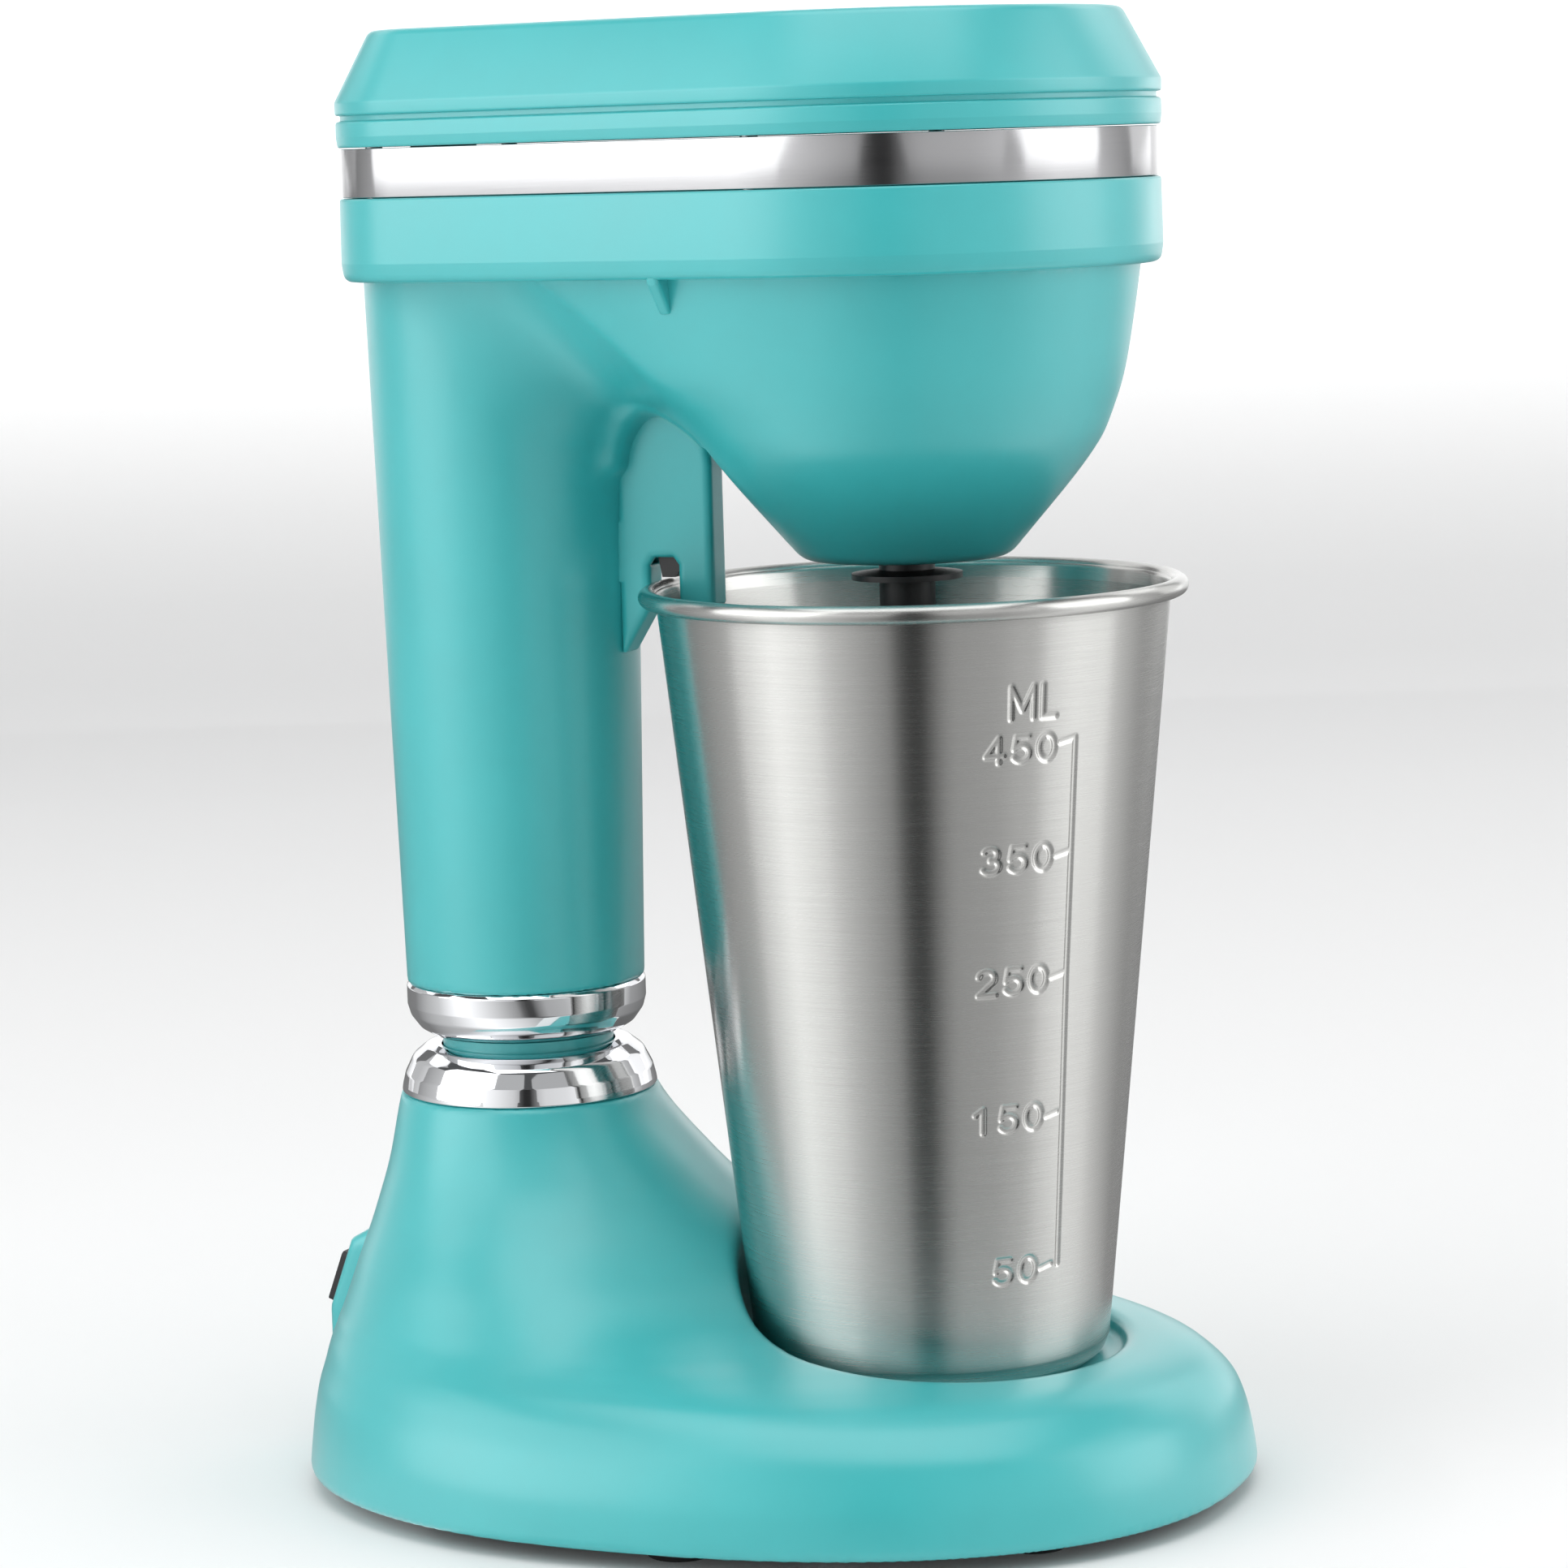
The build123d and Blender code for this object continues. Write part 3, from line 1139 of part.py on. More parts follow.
with BuildPart() as motor_shaft:
    with Locations((SPINDLE_X, 0, SHAFT_BOTTOM_Z)):
        Cylinder(SHAFT_RADIUS, UPPER_BEARING_Z[1] - SHAFT_BOTTOM_Z, align=BOTTOM)
    with Locations((SPINDLE_X + SHAFT_FLAT + 2, 0, SHAFT_BOTTOM_Z)):
        Box(4, 8, SHAFT_FLAT_TOP_Z - SHAFT_BOTTOM_Z, align=BOTTOM, mode=Mode.SUBTRACT)

motor_shaft.part.label = "motor_shaft"
export_step(motor_shaft.part, "parts/motor_shaft.step")

with BuildPart() as armature_core:
    with BuildSketch(Plane.XY.offset(STACK_BOTTOM_Z)):
        with Locations((SPINDLE_X, 0)):
            Circle(ARMATURE_RADIUS)
            Circle(SHAFT_RADIUS, mode=Mode.SUBTRACT)
            with PolarLocations(ARMATURE_RADIUS, 12):
                Rectangle(3.0, 1.2, mode=Mode.SUBTRACT)
    extrude(amount=STACK_TOP_Z - STACK_BOTTOM_Z)

armature_core.part.label = "armature_core"
export_step(armature_core.part, "parts/armature_core.step")

with BuildPart() as armature_winding:
    with BuildSketch(SPINDLE_PLANE):
        add(ring_face(SHAFT_RADIUS + 0.5, WINDING_RADIUS, COIL_BOTTOM_Z, STACK_BOTTOM_Z))
        add(ring_face(SHAFT_RADIUS + 0.5, WINDING_RADIUS, STACK_TOP_Z, COIL_TOP_Z - 0.5))
    revolve(axis=SPINDLE_AXIS)
    outer_edges = armature_winding.edges().filter_by(GeomType.CIRCLE)
    outer_edges = outer_edges.filter_by(lambda edge: edge.radius > WINDING_RADIUS - 0.1)
    fillet(outer_edges.sort_by(Axis.Z)[0], 2.0)
    fillet(armature_winding.edges().filter_by(GeomType.CIRCLE).sort_by(Axis.Z)[-1], 2.0)

armature_winding.part.label = "armature_winding"
export_step(armature_winding.part, "parts/armature_winding.step")

with BuildPart() as commutator:
    with BuildSketch(Plane.XY.offset(COIL_TOP_Z + 0.5)):
        with Locations((SPINDLE_X, 0)):
            Circle(COMMUTATOR_RADIUS)
            Circle(SHAFT_RADIUS, mode=Mode.SUBTRACT)
            with PolarLocations(COMMUTATOR_RADIUS, 24):
                Rectangle(1.4, 0.35, mode=Mode.SUBTRACT)
    extrude(amount=7.0)

commutator.part.label = "commutator"
export_step(commutator.part, "parts/commutator.step")

with BuildPart() as cooling_fan:
    with BuildSketch(Plane.XY.offset(FAN_Z[0])):
        with Locations((SPINDLE_X, 0)):
            Circle(FAN_RADIUS)
            Circle(SHAFT_RADIUS, mode=Mode.SUBTRACT)
    extrude(amount=0.9)
    with BuildSketch(Plane.XY.offset(FAN_Z[0])):
        with Locations((SPINDLE_X, 0)):
            Circle(4.6)
            with PolarLocations(11.0, FAN_BLADES):
                Rectangle(11.0, 0.9, rotation=24)
            Circle(SHAFT_RADIUS, mode=Mode.SUBTRACT)
    extrude(amount=FAN_Z[1] - FAN_Z[0])

cooling_fan.part.label = "cooling_fan"
export_step(cooling_fan.part, "parts/cooling_fan.step")

# ---------------------------------------------------------------- agitator
HUB_BOTTOM_Z = 142.0
HUB_TOP_Z = 166.3
SOCKET_BOTTOM_Z = 151.4
ROD_RADIUS = 2.4
ROD_TOP_Z = 150.6
ROD_BOTTOM_Z = 57.0
DISC_Z = 59.0
DISC_SHEET = 1.2
DISC_RADIUS = 13.0

with BuildPart() as agitator_hub:
    with BuildSketch(SPINDLE_PLANE):
        with BuildLine():
            Polyline(
                (0, HUB_BOTTOM_Z),
                (3.4, HUB_BOTTOM_Z),
                (4.4, HUB_BOTTOM_Z + 6),
                (4.9, HUB_BOTTOM_Z + 8),
                (4.9, 162.0),
                (9.7, 162.0),
                (9.7, 163.0),
                (4.9, 163.6),
                (4.9, HUB_TOP_Z - 0.5),
                (4.4, HUB_TOP_Z),
                (0, HUB_TOP_Z),
                close=True,
            )
        make_face()
    revolve(axis=SPINDLE_AXIS)
    # socket with a flat for the motor's shaft, and the rod's bore
    with BuildSketch(Plane.XY.offset(SOCKET_BOTTOM_Z)):
        with Locations((SPINDLE_X, 0)):
            Circle(SHAFT_RADIUS + RUNNING_FIT)
        with Locations((SPINDLE_X + SHAFT_FLAT + RUNNING_FIT + 2, 0)):
            Rectangle(4, 8, mode=Mode.SUBTRACT)
    extrude(amount=SHAFT_FLAT_TOP_Z - 0.4 - SOCKET_BOTTOM_Z, mode=Mode.SUBTRACT)
    with Locations((SPINDLE_X, 0, SHAFT_FLAT_TOP_Z - 0.4)):
        Cylinder(SHAFT_RADIUS + RUNNING_FIT, 8, align=BOTTOM, mode=Mode.SUBTRACT)
    with Locations((SPINDLE_X, 0, HUB_BOTTOM_Z)):
        Cylinder(ROD_RADIUS, ROD_TOP_Z - HUB_BOTTOM_Z, align=BOTTOM, mode=Mode.SUBTRACT)

agitator_hub.part.label = "agitator_hub"
export_step(agitator_hub.part, "parts/agitator_hub.step")

with BuildPart() as agitator_shaft:
    with Locations((SPINDLE_X, 0, ROD_BOTTOM_Z)):
        Cylinder(ROD_RADIUS, ROD_TOP_Z - ROD_BOTTOM_Z, align=BOTTOM)

agitator_shaft.part.label = "agitator_shaft"
export_step(agitator_shaft.part, "parts/agitator_shaft.step")

with BuildPart() as agitator_disc:
    with Locations((SPINDLE_X, 0, DISC_Z)):
        Cylinder(DISC_RADIUS, DISC_SHEET, align=BOTTOM)
        Cylinder(4.0, 4.2, align=BOTTOM)
    # radial waves that fold the milk in
    for step in range(8):
        turn = 45.0 * step
        wave_axis = Plane(
            origin=(SPINDLE_X, 0, DISC_Z + DISC_SHEET - 0.3),
            x_dir=(0, 0, 1),
            z_dir=(cos(radians(turn)), sin(radians(turn)), 0),
        )
        with BuildSketch(wave_axis.offset(3.0)):
            Circle(1.3)
        extrude(amount=DISC_RADIUS - 3.4)
    with Locations((SPINDLE_X, 0, DISC_Z - 3)):
        Cylinder(ROD_RADIUS, 12, align=BOTTOM, mode=Mode.SUBTRACT)

agitator_disc.part.label = "agitator_disc"
export_step(agitator_disc.part, "parts/agitator_disc.step")

# ---------------------------------------------------------------- cup
with BuildPart() as cup:
    with BuildSketch(CUP_PLANE):
        with BuildLine():
            Polyline(
                (0, CUP_FLOOR_Z),
                (CUP_STAND_RADIUS - 1.6, CUP_FLOOR_Z),
                (CUP_STAND_RADIUS - 1.2, CUP_BOTTOM_Z),
                (CUP_STAND_RADIUS, CUP_BOTTOM_Z),
                (CUP_FOOT_RADIUS - 0.9, CUP_BOTTOM_Z + 1.6),
                (CUP_FOOT_RADIUS, CUP_FOOT_TOP_Z),
                (CUP_NECK_RADIUS, RIM_Z - 2.0),
                (CUP_NECK_RADIUS + 1.2, RIM_Z + 0.4),
                (CUP_NECK_RADIUS + 0.6, RIM_Z + 0.9),
                (CUP_NECK_RADIUS - CUP_SHEET, RIM_Z - 1.8),
                (CUP_FOOT_RADIUS - CUP_SHEET, CUP_FOOT_TOP_Z + 0.1),
                (CUP_FOOT_RADIUS - 1.4, CUP_BOTTOM_Z + 2.1),
                (CUP_STAND_RADIUS - 0.3, CUP_FLOOR_Z + CUP_SHEET),
                (0, CUP_FLOOR_Z + CUP_SHEET),
                close=True,
            )
        make_face()
        with Locations((RIM_RADIUS, RIM_Z)):
            Circle(RIM_BEAD)
    revolve(axis=CUP_AXIS)

cup.part.label = "cup"
export_step(cup.part, "parts/cup.step")

# ---------------------------------------------------------------- control board under the cover
BOARD_SIZE = (32.0, 28.0)
BOARD_X = -50.0
BOARD_SHEET = 1.6
BOARD_BOTTOM_Z = BOARD_TOP_Z - BOARD_SHEET

with BuildPart() as control_board:
    with BuildSketch(Plane.XY.offset(BOARD_BOTTOM_Z)):
        with Locations((BOARD_X, 0)):
            RectangleRounded(*BOARD_SIZE, 1.5)
        with Locations(BOARD_BOSSES):
            Circle(BOARD_SCREW_RADIUS + 0.2, mode=Mode.SUBTRACT)
    extrude(amount=BOARD_SHEET)

control_board.part.label = "control_board"
export_step(control_board.part, "parts/control_board.step")

with BuildPart() as board_screws:
    with Locations([Location((x, y, BOARD_BOTTOM_Z), (180, 0, 0)) for x, y in BOARD_BOSSES]):
        pan_screw(2.1, 1.4, BOARD_SCREW_RADIUS, BOARD_SHEET + BOARD_SCREW_REACH - 0.6)

board_screws.part.label = "board_screws"
export_step(board_screws.part, "parts/board_screws.step")

with BuildPart() as capacitor:
    with Locations((BOARD_X - 8, 0, BOARD_BOTTOM_Z)):
        Box(8, 12, 9, align=TOP)
    fillet(capacitor.edges().filter_by(Axis.Z), 1.0)

capacitor.part.label = "capacitor"
export_step(capacitor.part, "parts/capacitor.step")

with BuildPart() as speed_diode:
    with BuildSketch(Plane.YZ.offset(BOARD_X + 4)):
        with Locations((-2, BOARD_BOTTOM_Z - 1.4)):
            Circle(1.4)
    extrude(amount=6)

speed_diode.part.label = "speed_diode"
export_step(speed_diode.part, "parts/speed_diode.step")
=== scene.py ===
"""Looks of the counter-top milkshake mixer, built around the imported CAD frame.

Lengths in this script are millimetres in the CAD frame (+X to the cup, +Z up); metres() turns
them into Blender's units.
"""

import json
import math

import bpy
import numpy as np
from mathutils import Matrix, Vector

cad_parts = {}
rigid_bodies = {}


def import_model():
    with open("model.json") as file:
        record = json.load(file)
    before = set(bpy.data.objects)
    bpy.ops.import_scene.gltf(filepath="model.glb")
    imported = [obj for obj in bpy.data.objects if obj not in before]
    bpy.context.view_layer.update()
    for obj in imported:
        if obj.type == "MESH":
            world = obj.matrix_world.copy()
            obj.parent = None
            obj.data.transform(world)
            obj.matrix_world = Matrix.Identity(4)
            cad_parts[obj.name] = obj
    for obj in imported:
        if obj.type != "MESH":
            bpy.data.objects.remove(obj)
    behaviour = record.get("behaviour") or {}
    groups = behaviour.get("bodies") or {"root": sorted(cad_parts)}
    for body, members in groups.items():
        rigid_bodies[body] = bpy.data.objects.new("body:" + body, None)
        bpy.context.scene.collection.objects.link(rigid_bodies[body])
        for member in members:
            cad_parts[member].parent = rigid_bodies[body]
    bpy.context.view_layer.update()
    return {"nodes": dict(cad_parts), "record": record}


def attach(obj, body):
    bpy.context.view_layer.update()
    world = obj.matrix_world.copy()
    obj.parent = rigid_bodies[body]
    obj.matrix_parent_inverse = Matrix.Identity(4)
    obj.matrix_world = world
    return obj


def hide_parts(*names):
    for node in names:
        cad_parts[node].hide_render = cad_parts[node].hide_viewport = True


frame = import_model()
nodes = frame["nodes"]

# ---------------------------------------------------------------- shared dimensions
CUP_X = 30.0
SPINDLE_X = 29.0
COLUMN_X = -47.7
FOOT_Z = 3.0
COLLAR_SEAT_Z = 68.5
COLUMN_FOOT_Z = 88.65
SKIRT_BOTTOM_Z = 215.7
SKIRT_TOP_Z = 230.3
RECESS_RADIUS = 34.2
RECESS_FLOOR_Z = 23.6


def metres(points):
    return np.asarray(points, dtype=float) * 0.001


def mesh_piece(name, points, faces, smooth=True):
    """A mesh object from points in millimetres."""
    mesh = bpy.data.meshes.new(name)
    mesh.from_pydata(metres(points).tolist(), [], [list(map(int, f)) for f in faces])
    mesh.update()
    if smooth:
        mesh.shade_smooth()
    piece = bpy.data.objects.new(name, mesh)
    bpy.context.scene.collection.objects.link(piece)
    return piece


# ---------------------------------------------------------------- skins of smooth solids
def smooth_min(a, b, k):
    h = np.clip(0.5 + 0.5 * (b - a) / k, 0, 1)
    return b * (1 - h) + a * h - k * h * (1 - h)


def smooth_max(a, b, k):
    return -smooth_min(-a, -b, k)


def skin(field, low, high, step, settle=3):
    """Points and quads of the surface where field(x, y, z) is 0: one point in each grid cell that
    the surface crosses, then moved onto the surface along the field's slope."""
    axes = [np.arange(a, b + 1.5 * step, step) for a, b in zip(low, high)]
    value = field(*np.meshgrid(*axes, indexing="ij"))
    inside = value < 0
    size = np.array(value.shape) - 1
    corners = np.array([(i, j, k) for i in (0, 1) for j in (0, 1) for k in (0, 1)])
    count = np.zeros(size, dtype=int)
    for i, j, k in corners:
        count += inside[i:size[0] + i, j:size[1] + j, k:size[2] + k]
    cells = np.argwhere((count > 0) & (count < 8))
    number = -np.ones(size, dtype=int)
    number[tuple(cells.T)] = np.arange(len(cells))
    total = np.zeros((len(cells), 3))
    hits = np.zeros(len(cells))
    for a in range(8):
        for b in range(a + 1, 8):
            if np.abs(corners[a] - corners[b]).sum() != 1:
                continue
            va = value[tuple((cells + corners[a]).T)]
            vb = value[tuple((cells + corners[b]).T)]
            crossed = (va < 0) != (vb < 0)
            part = np.where(crossed, va / np.where(crossed, va - vb, 1), 0)
            point = corners[a] + part[:, None] * (corners[b] - corners[a])
            total += point * crossed[:, None]
            hits += crossed
    points = np.array(low) + step * (cells + total / hits[:, None])
    nudge = 0.02 * step
    for _ in range(settle):
        here = field(*points.T)
        rise = [field(*(points + d).T) - field(*(points - d).T) for d in nudge * np.eye(3)]
        slope = np.stack(rise, axis=1) / (2 * nudge)
        move = here[:, None] * slope / np.maximum((slope**2).sum(1), 1e-6)[:, None]
        length = np.linalg.norm(move, axis=1)
        points = points - move * np.minimum(1, 0.5 * step / np.maximum(length, 1e-9))[:, None]
    faces = []
    for axis in range(3):
        u, v = [t for t in range(3) if t != axis]
        first = np.take(inside, range(size[axis]), axis)
        second = np.take(inside, range(1, size[axis] + 1), axis)
        edges = np.argwhere(first != second)
        kept = (edges[:, u] > 0) & (edges[:, v] > 0) & (edges[:, u] < size[u]) & (edges[:, v] < size[v])
        edges = edges[kept]
        outward = first[tuple(edges.T)]
        ring = []
        for du, dv in ((-1, -1), (0, -1), (0, 0), (-1, 0)):
            cell = edges.copy()
            cell[:, u] += du
            cell[:, v] += dv
            ring.append(number[tuple(cell.T)])
        quad = np.stack(ring, axis=1)
        flip = outward if axis != 1 else ~outward
        quad = np.where(flip[:, None], quad, quad[:, ::-1])
        faces.append(quad)
    return points, np.concatenate(faces)


def egg_distance(x, y, table, height):
    """Horizontal distance to an egg-shaped section whose sizes follow table at each height."""
    z, widest, half, rear, front, power = np.array(table).T
    columns = (widest, half, rear, front, power)
    widest, half, rear, front, power = [smooth_table(height, z, values) for values in columns]
    reach = np.where(x > widest, front - widest, widest - rear)
    u = np.abs(x - widest) / reach + 1e-9
    v = np.abs(y) / half + 1e-9
    r = (u**power + v**power) ** (1 / power)
    slope = r ** (1 - power) * np.hypot(u ** (power - 1) / reach, v ** (power - 1) / half)
    return (r - 1) / np.maximum(slope, 1e-3)


def smooth_table(at, keys, values):
    """Values between keys, joined by curves without kinks or overshoot."""
    gap = np.diff(keys)
    rise = np.diff(values) / gap
    slope = np.zeros(len(keys))
    same = rise[1:] * rise[:-1] > 0
    w0 = 2 * gap[1:] + gap[:-1]
    w1 = gap[1:] + 2 * gap[:-1]
    inner = (w0 + w1) / (w0 / np.where(same, rise[:-1], 1) + w1 / np.where(same, rise[1:], 1))
    slope[1:-1] = np.where(same, inner, 0)
    slope[0] = rise[0]
    slope[-1] = rise[-1]
    at = np.clip(at, keys[0], keys[-1])
    i = np.clip(np.searchsorted(keys, at) - 1, 0, len(gap) - 1)
    t = (at - keys[i]) / gap[i]
    a = (1 + 2 * t) * (1 - t) ** 2 * values[i] + t * (1 - t) ** 2 * gap[i] * slope[i]
    b = t**2 * (3 - 2 * t) * values[i + 1] + t**2 * (t - 1) * gap[i] * slope[i + 1]
    return a + b


def true_distance(field, x, y, z, nudge=0.05):
    """A field divided by its own slope, so that it is nearly a distance."""
    here = field(x, y, z)
    sx = (field(x + nudge, y, z) - here) / nudge
    sy = (field(x, y + nudge, z) - here) / nudge
    sz = (field(x, y, z + nudge) - here) / nudge
    return here / np.maximum(np.sqrt(sx**2 + sy**2 + sz**2), 0.2)


def polygon_distance(x, z, corners):
    """Signed distance to a polygon, negative inside."""
    corners = np.array(corners, dtype=float)
    nearest = np.full(x.shape, 1e9)
    inside = np.zeros(x.shape, dtype=bool)
    for a, b in zip(corners, np.roll(corners, -1, axis=0)):
        ex, ez = b - a
        px, pz = x - a[0], z - a[1]
        t = np.clip((px * ex + pz * ez) / (ex**2 + ez**2), 0, 1)
        nearest = np.minimum(nearest, np.hypot(px - t * ex, pz - t * ez))
        crosses = (a[1] > z) != (b[1] > z)
        if ez != 0:
            inside ^= crosses & (x < a[0] + ex * (z - a[1]) / ez)
    return np.where(inside, -nearest, nearest)


# ---------------------------------------------------------------- base
# height, x of the widest chord, half width, rear end, front end, fullness
BASE_TABLE = [
    (1.0, -8.0, 67.6, -85.9, 86.6, 2.25),
    (3.0, -8.0, 67.5, -85.8, 86.5, 2.25),
    (10.0, -8.5, 66.9, -85.0, 85.6, 2.25),
    (17.0, -10.0, 64.8, -84.0, 83.6, 2.25),
    (22.5, -13.0, 61.5, -82.9, 79.0, 2.2),
    (25.6, -17.0, 58.3, -82.1, 72.0, 2.2),
    (27.2, -21.0, 55.8, -81.5, 60.0, 2.2),
    (28.6, -25.0, 53.5, -81.0, 45.0, 2.2),
    (30.5, -29.0, 51.0, -80.5, 28.0, 2.15),
    (34.0, -34.0, 47.4, -79.5, 14.0, 2.1),
    (39.5, -39.0, 42.5, -77.9, 5.0, 2.05),
    (47.0, -43.0, 35.8, -75.7, -4.5, 2.0),
    (56.0, -45.7, 29.4, -73.3, -14.0, 2.0),
    (68.5, COLUMN_X, 23.3, COLUMN_X - 23.3, COLUMN_X + 23.3, 2.0),
    (72.0, COLUMN_X, 22.0, COLUMN_X - 22.0, COLUMN_X + 22.0, 2.0),
]
PANEL_LEAN = math.radians(20.6)
PANEL_CENTRE = (-84.6, 31.5)
PANEL_HALF_WIDTH = 9.6
PANEL_OUTLINE = [(-70.0, 43.0), (-77.6, 41.6), (-81.6, 39.4), (-86.5, 26.4), (-86.5, 7.0), (-70.0, 7.0)]

SWITCH_HOLE_HALF = (4.5, 7.0)
SWITCH_HOLE_DEPTH = 12.0
# the inlet's stepped hole, as (radius, x of its inner end)
INLET_Z = 14.0
INLET_STEPS = [(5.7, -84.8), (4.4, -77.0)]
BASE_WALL = 2.6
PLATE_TOP_Z = 5.7


def base_hull(x, y, z):
    return egg_distance(x, y, BASE_TABLE, z)


def base_field(x, y, z):
    hull = true_distance(base_hull, x, y, z)
    hull = smooth_max(hull, z - COLLAR_SEAT_Z, 0.8)
    # raised panel for the switch
    panel = smooth_max(polygon_distance(x, z, PANEL_OUTLINE), np.abs(y) - PANEL_HALF_WIDTH, 2.4)
    solid = smooth_min(hull, panel, 0.9)
    # round recess for the cup, with a soft lip
    recess = smooth_max(np.hypot(x - CUP_X, y) - RECESS_RADIUS, RECESS_FLOOR_Z - z, 1.5)
    solid = smooth_max(solid, -recess, 2.6)
    # openings for the switch and the mains inlet
    across = (x - PANEL_CENTRE[0]) * math.cos(PANEL_LEAN) - (z - PANEL_CENTRE[1]) * math.sin(PANEL_LEAN)
    along = (x - PANEL_CENTRE[0]) * math.sin(PANEL_LEAN) + (z - PANEL_CENTRE[1]) * math.cos(PANEL_LEAN)
    switch_hole = np.maximum(np.abs(along) - SWITCH_HOLE_HALF[0], np.abs(y) - SWITCH_HOLE_HALF[1])
    switch_hole = np.maximum(switch_hole, across - SWITCH_HOLE_DEPTH)
    solid = smooth_max(solid, -switch_hole, 0.3)
    out = np.hypot(y, z - INLET_Z)
    steps = [np.maximum(out - radius, x - inner_end) for radius, inner_end in INLET_STEPS]
    solid = smooth_max(solid, -np.minimum(*steps), 0.3)
    # edge on the table side, and the room for the plate
    solid = smooth_max(solid, FOOT_Z - z, 1.2)
    room = np.maximum(hull + BASE_WALL, z - PLATE_TOP_Z)
    return smooth_max(solid, -room, 0.4)


base_points, base_faces = skin(base_field, (-90, -71, 1), (90, 71, 72), 0.9)
base = mesh_piece("base_moulding", base_points, base_faces)
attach(base, "stand")
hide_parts("base_shell")

# ---------------------------------------------------------------- neck between the collars
def turned(name, profile, centre_x, steps=192, close=False):
    """A turned piece from a profile of (radius, height)."""
    profile = np.array(profile, dtype=float)
    turn = np.linspace(0, 2 * np.pi, steps, endpoint=False)
    rings = np.stack(
        [
            centre_x + profile[:, 0:1] * np.cos(turn),
            profile[:, 0:1] * np.sin(turn),
            np.repeat(profile[:, 1:2], steps, axis=1),
        ],
        axis=-1,
    )
    points = rings.reshape(-1, 3)
    faces = []
    rows = len(profile)
    for row in range(rows if close else rows - 1):
        nxt = (row + 1) % rows
        for s in range(steps):
            t = (s + 1) % steps
            faces.append((row * steps + s, row * steps + t, nxt * steps + t, nxt * steps + s))
    return mesh_piece(name, points, faces)


def rounded(corners, default=0.4, arc=6, closed=False):
    """A polyline with its corners rounded: each corner is (radius, height) or (radius, height, fillet)."""
    pts = [np.array(c[:2], dtype=float) for c in corners]
    radii = [c[2] if len(c) > 2 else default for c in corners]
    out = []
    n = len(pts)
    for i in range(n):
        p = pts[i]
        if not closed and i in (0, n - 1):
            out.append(p)
            continue
        a = pts[i - 1] - p
        b = pts[(i + 1) % n] - p
        la, lb = np.linalg.norm(a), np.linalg.norm(b)
        a, b = a / la, b / lb
        half = 0.5 * math.acos(float(np.clip(a @ b, -1, 1)))
        if radii[i] <= 0 or half > 1.55:
            out.append(p)
            continue
        run = min(radii[i] / math.tan(half), 0.49 * la, 0.49 * lb)
        for t in np.linspace(0, 1, arc):
            q = (1 - t) ** 2 * (p + a * run) + 2 * t * (1 - t) * p + t**2 * (p + b * run)
            out.append(q)
    return out


neck = turned("neck", rounded([(15.55, 66.0), (15.55, 88.6)]), COLUMN_X)
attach(neck, "stand")

LOWER_COLLAR = [
    (15.8, 76.9), (15.8, 68.6), (23.3, 68.55, 0.25), (23.15, 69.6, 0.5), (22.6, 71.8, 2.0), (21.1, 74.8, 2.5),
    (18.8, 76.6, 1.5), (16.9, 77.0, 0.5),
]
lower_collar = turned("lower_collar_ring", rounded(LOWER_COLLAR, closed=True), COLUMN_X, close=True)
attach(lower_collar, "stand")
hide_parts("lower_collar")

UPPER_COLLAR = [
    (15.8, 88.55), (15.8, 79.2), (17.6, 79.2, 0.4), (19.6, 80.4, 1.5), (21.2, 82.6, 2.0), (21.75, 84.6, 1.0),
    (21.75, 87.9, 0.5), (21.2, 88.55, 0.3),
]
upper_collar = turned("upper_collar_ring", rounded(UPPER_COLLAR, closed=True), COLUMN_X, close=True)
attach(upper_collar, "stand")
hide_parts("upper_collar")

# ---------------------------------------------------------------- column and bell
BELL_TABLE = [
    (160.0, SPINDLE_X, 17.0, 14.0, SPINDLE_X + 17.0, 2.0),
    (178.0, SPINDLE_X, 29.6, -0.6, SPINDLE_X + 29.6, 2.0),
    (182.5, SPINDLE_X, 32.5, -3.6, SPINDLE_X + 32.5, 2.0),
    (187.0, SPINDLE_X, 35.0, -7.0, SPINDLE_X + 35.0, 2.0),
    (191.5, SPINDLE_X, 36.8, -12.5, SPINDLE_X + 36.8, 2.0),
    (195.0, SPINDLE_X, 38.0, -20.0, SPINDLE_X + 38.0, 2.0),
    (198.5, SPINDLE_X, 38.9, -29.0, SPINDLE_X + 38.9, 2.0),
    (205.0, SPINDLE_X, 40.1, -38.5, SPINDLE_X + 40.1, 2.0),
    (217.0, SPINDLE_X, 41.9, -50.0, SPINDLE_X + 41.9, 2.0),
    (222.0, SPINDLE_X, 42.4, -52.0, SPINDLE_X + 42.4, 2.0),
]


# underside of the saddle over the cup holder, as (x, z)
SADDLE_OUTLINE = [
    (-44.0, 214.0), (-44.0, 182.0), (-23.4, 182.0), (-22.6, 186.5), (-21.3, 190.4), (-18.6, 193.4),
    (-15.8, 194.0), (-13.0, 193.0), (-10.0, 190.8), (-6.0, 186.6), (4.0, 186.0), (20.0, 214.0),
]
SADDLE_HALF = 7.0
# the bell's lower cone, and the column's taper
CONE_FOOT_RADIUS = 18.8
CONE_FOOT_Z = 166.6
CONE_SLOPE = 0.8616
BELL_BOTTOM_Z = 165.6
MOUTH_RADIUS = 6.2
MOUTH_TOP_Z = 180.0
ARM_TOP_Z = 217.0
COLUMN_FOOT_RADIUS = 21.6
COLUMN_TAPER = 2.8 / 127.05
ARM_BLEND = 24.0


def bell_hull(x, y, z):
    return egg_distance(x, y, BELL_TABLE, z)


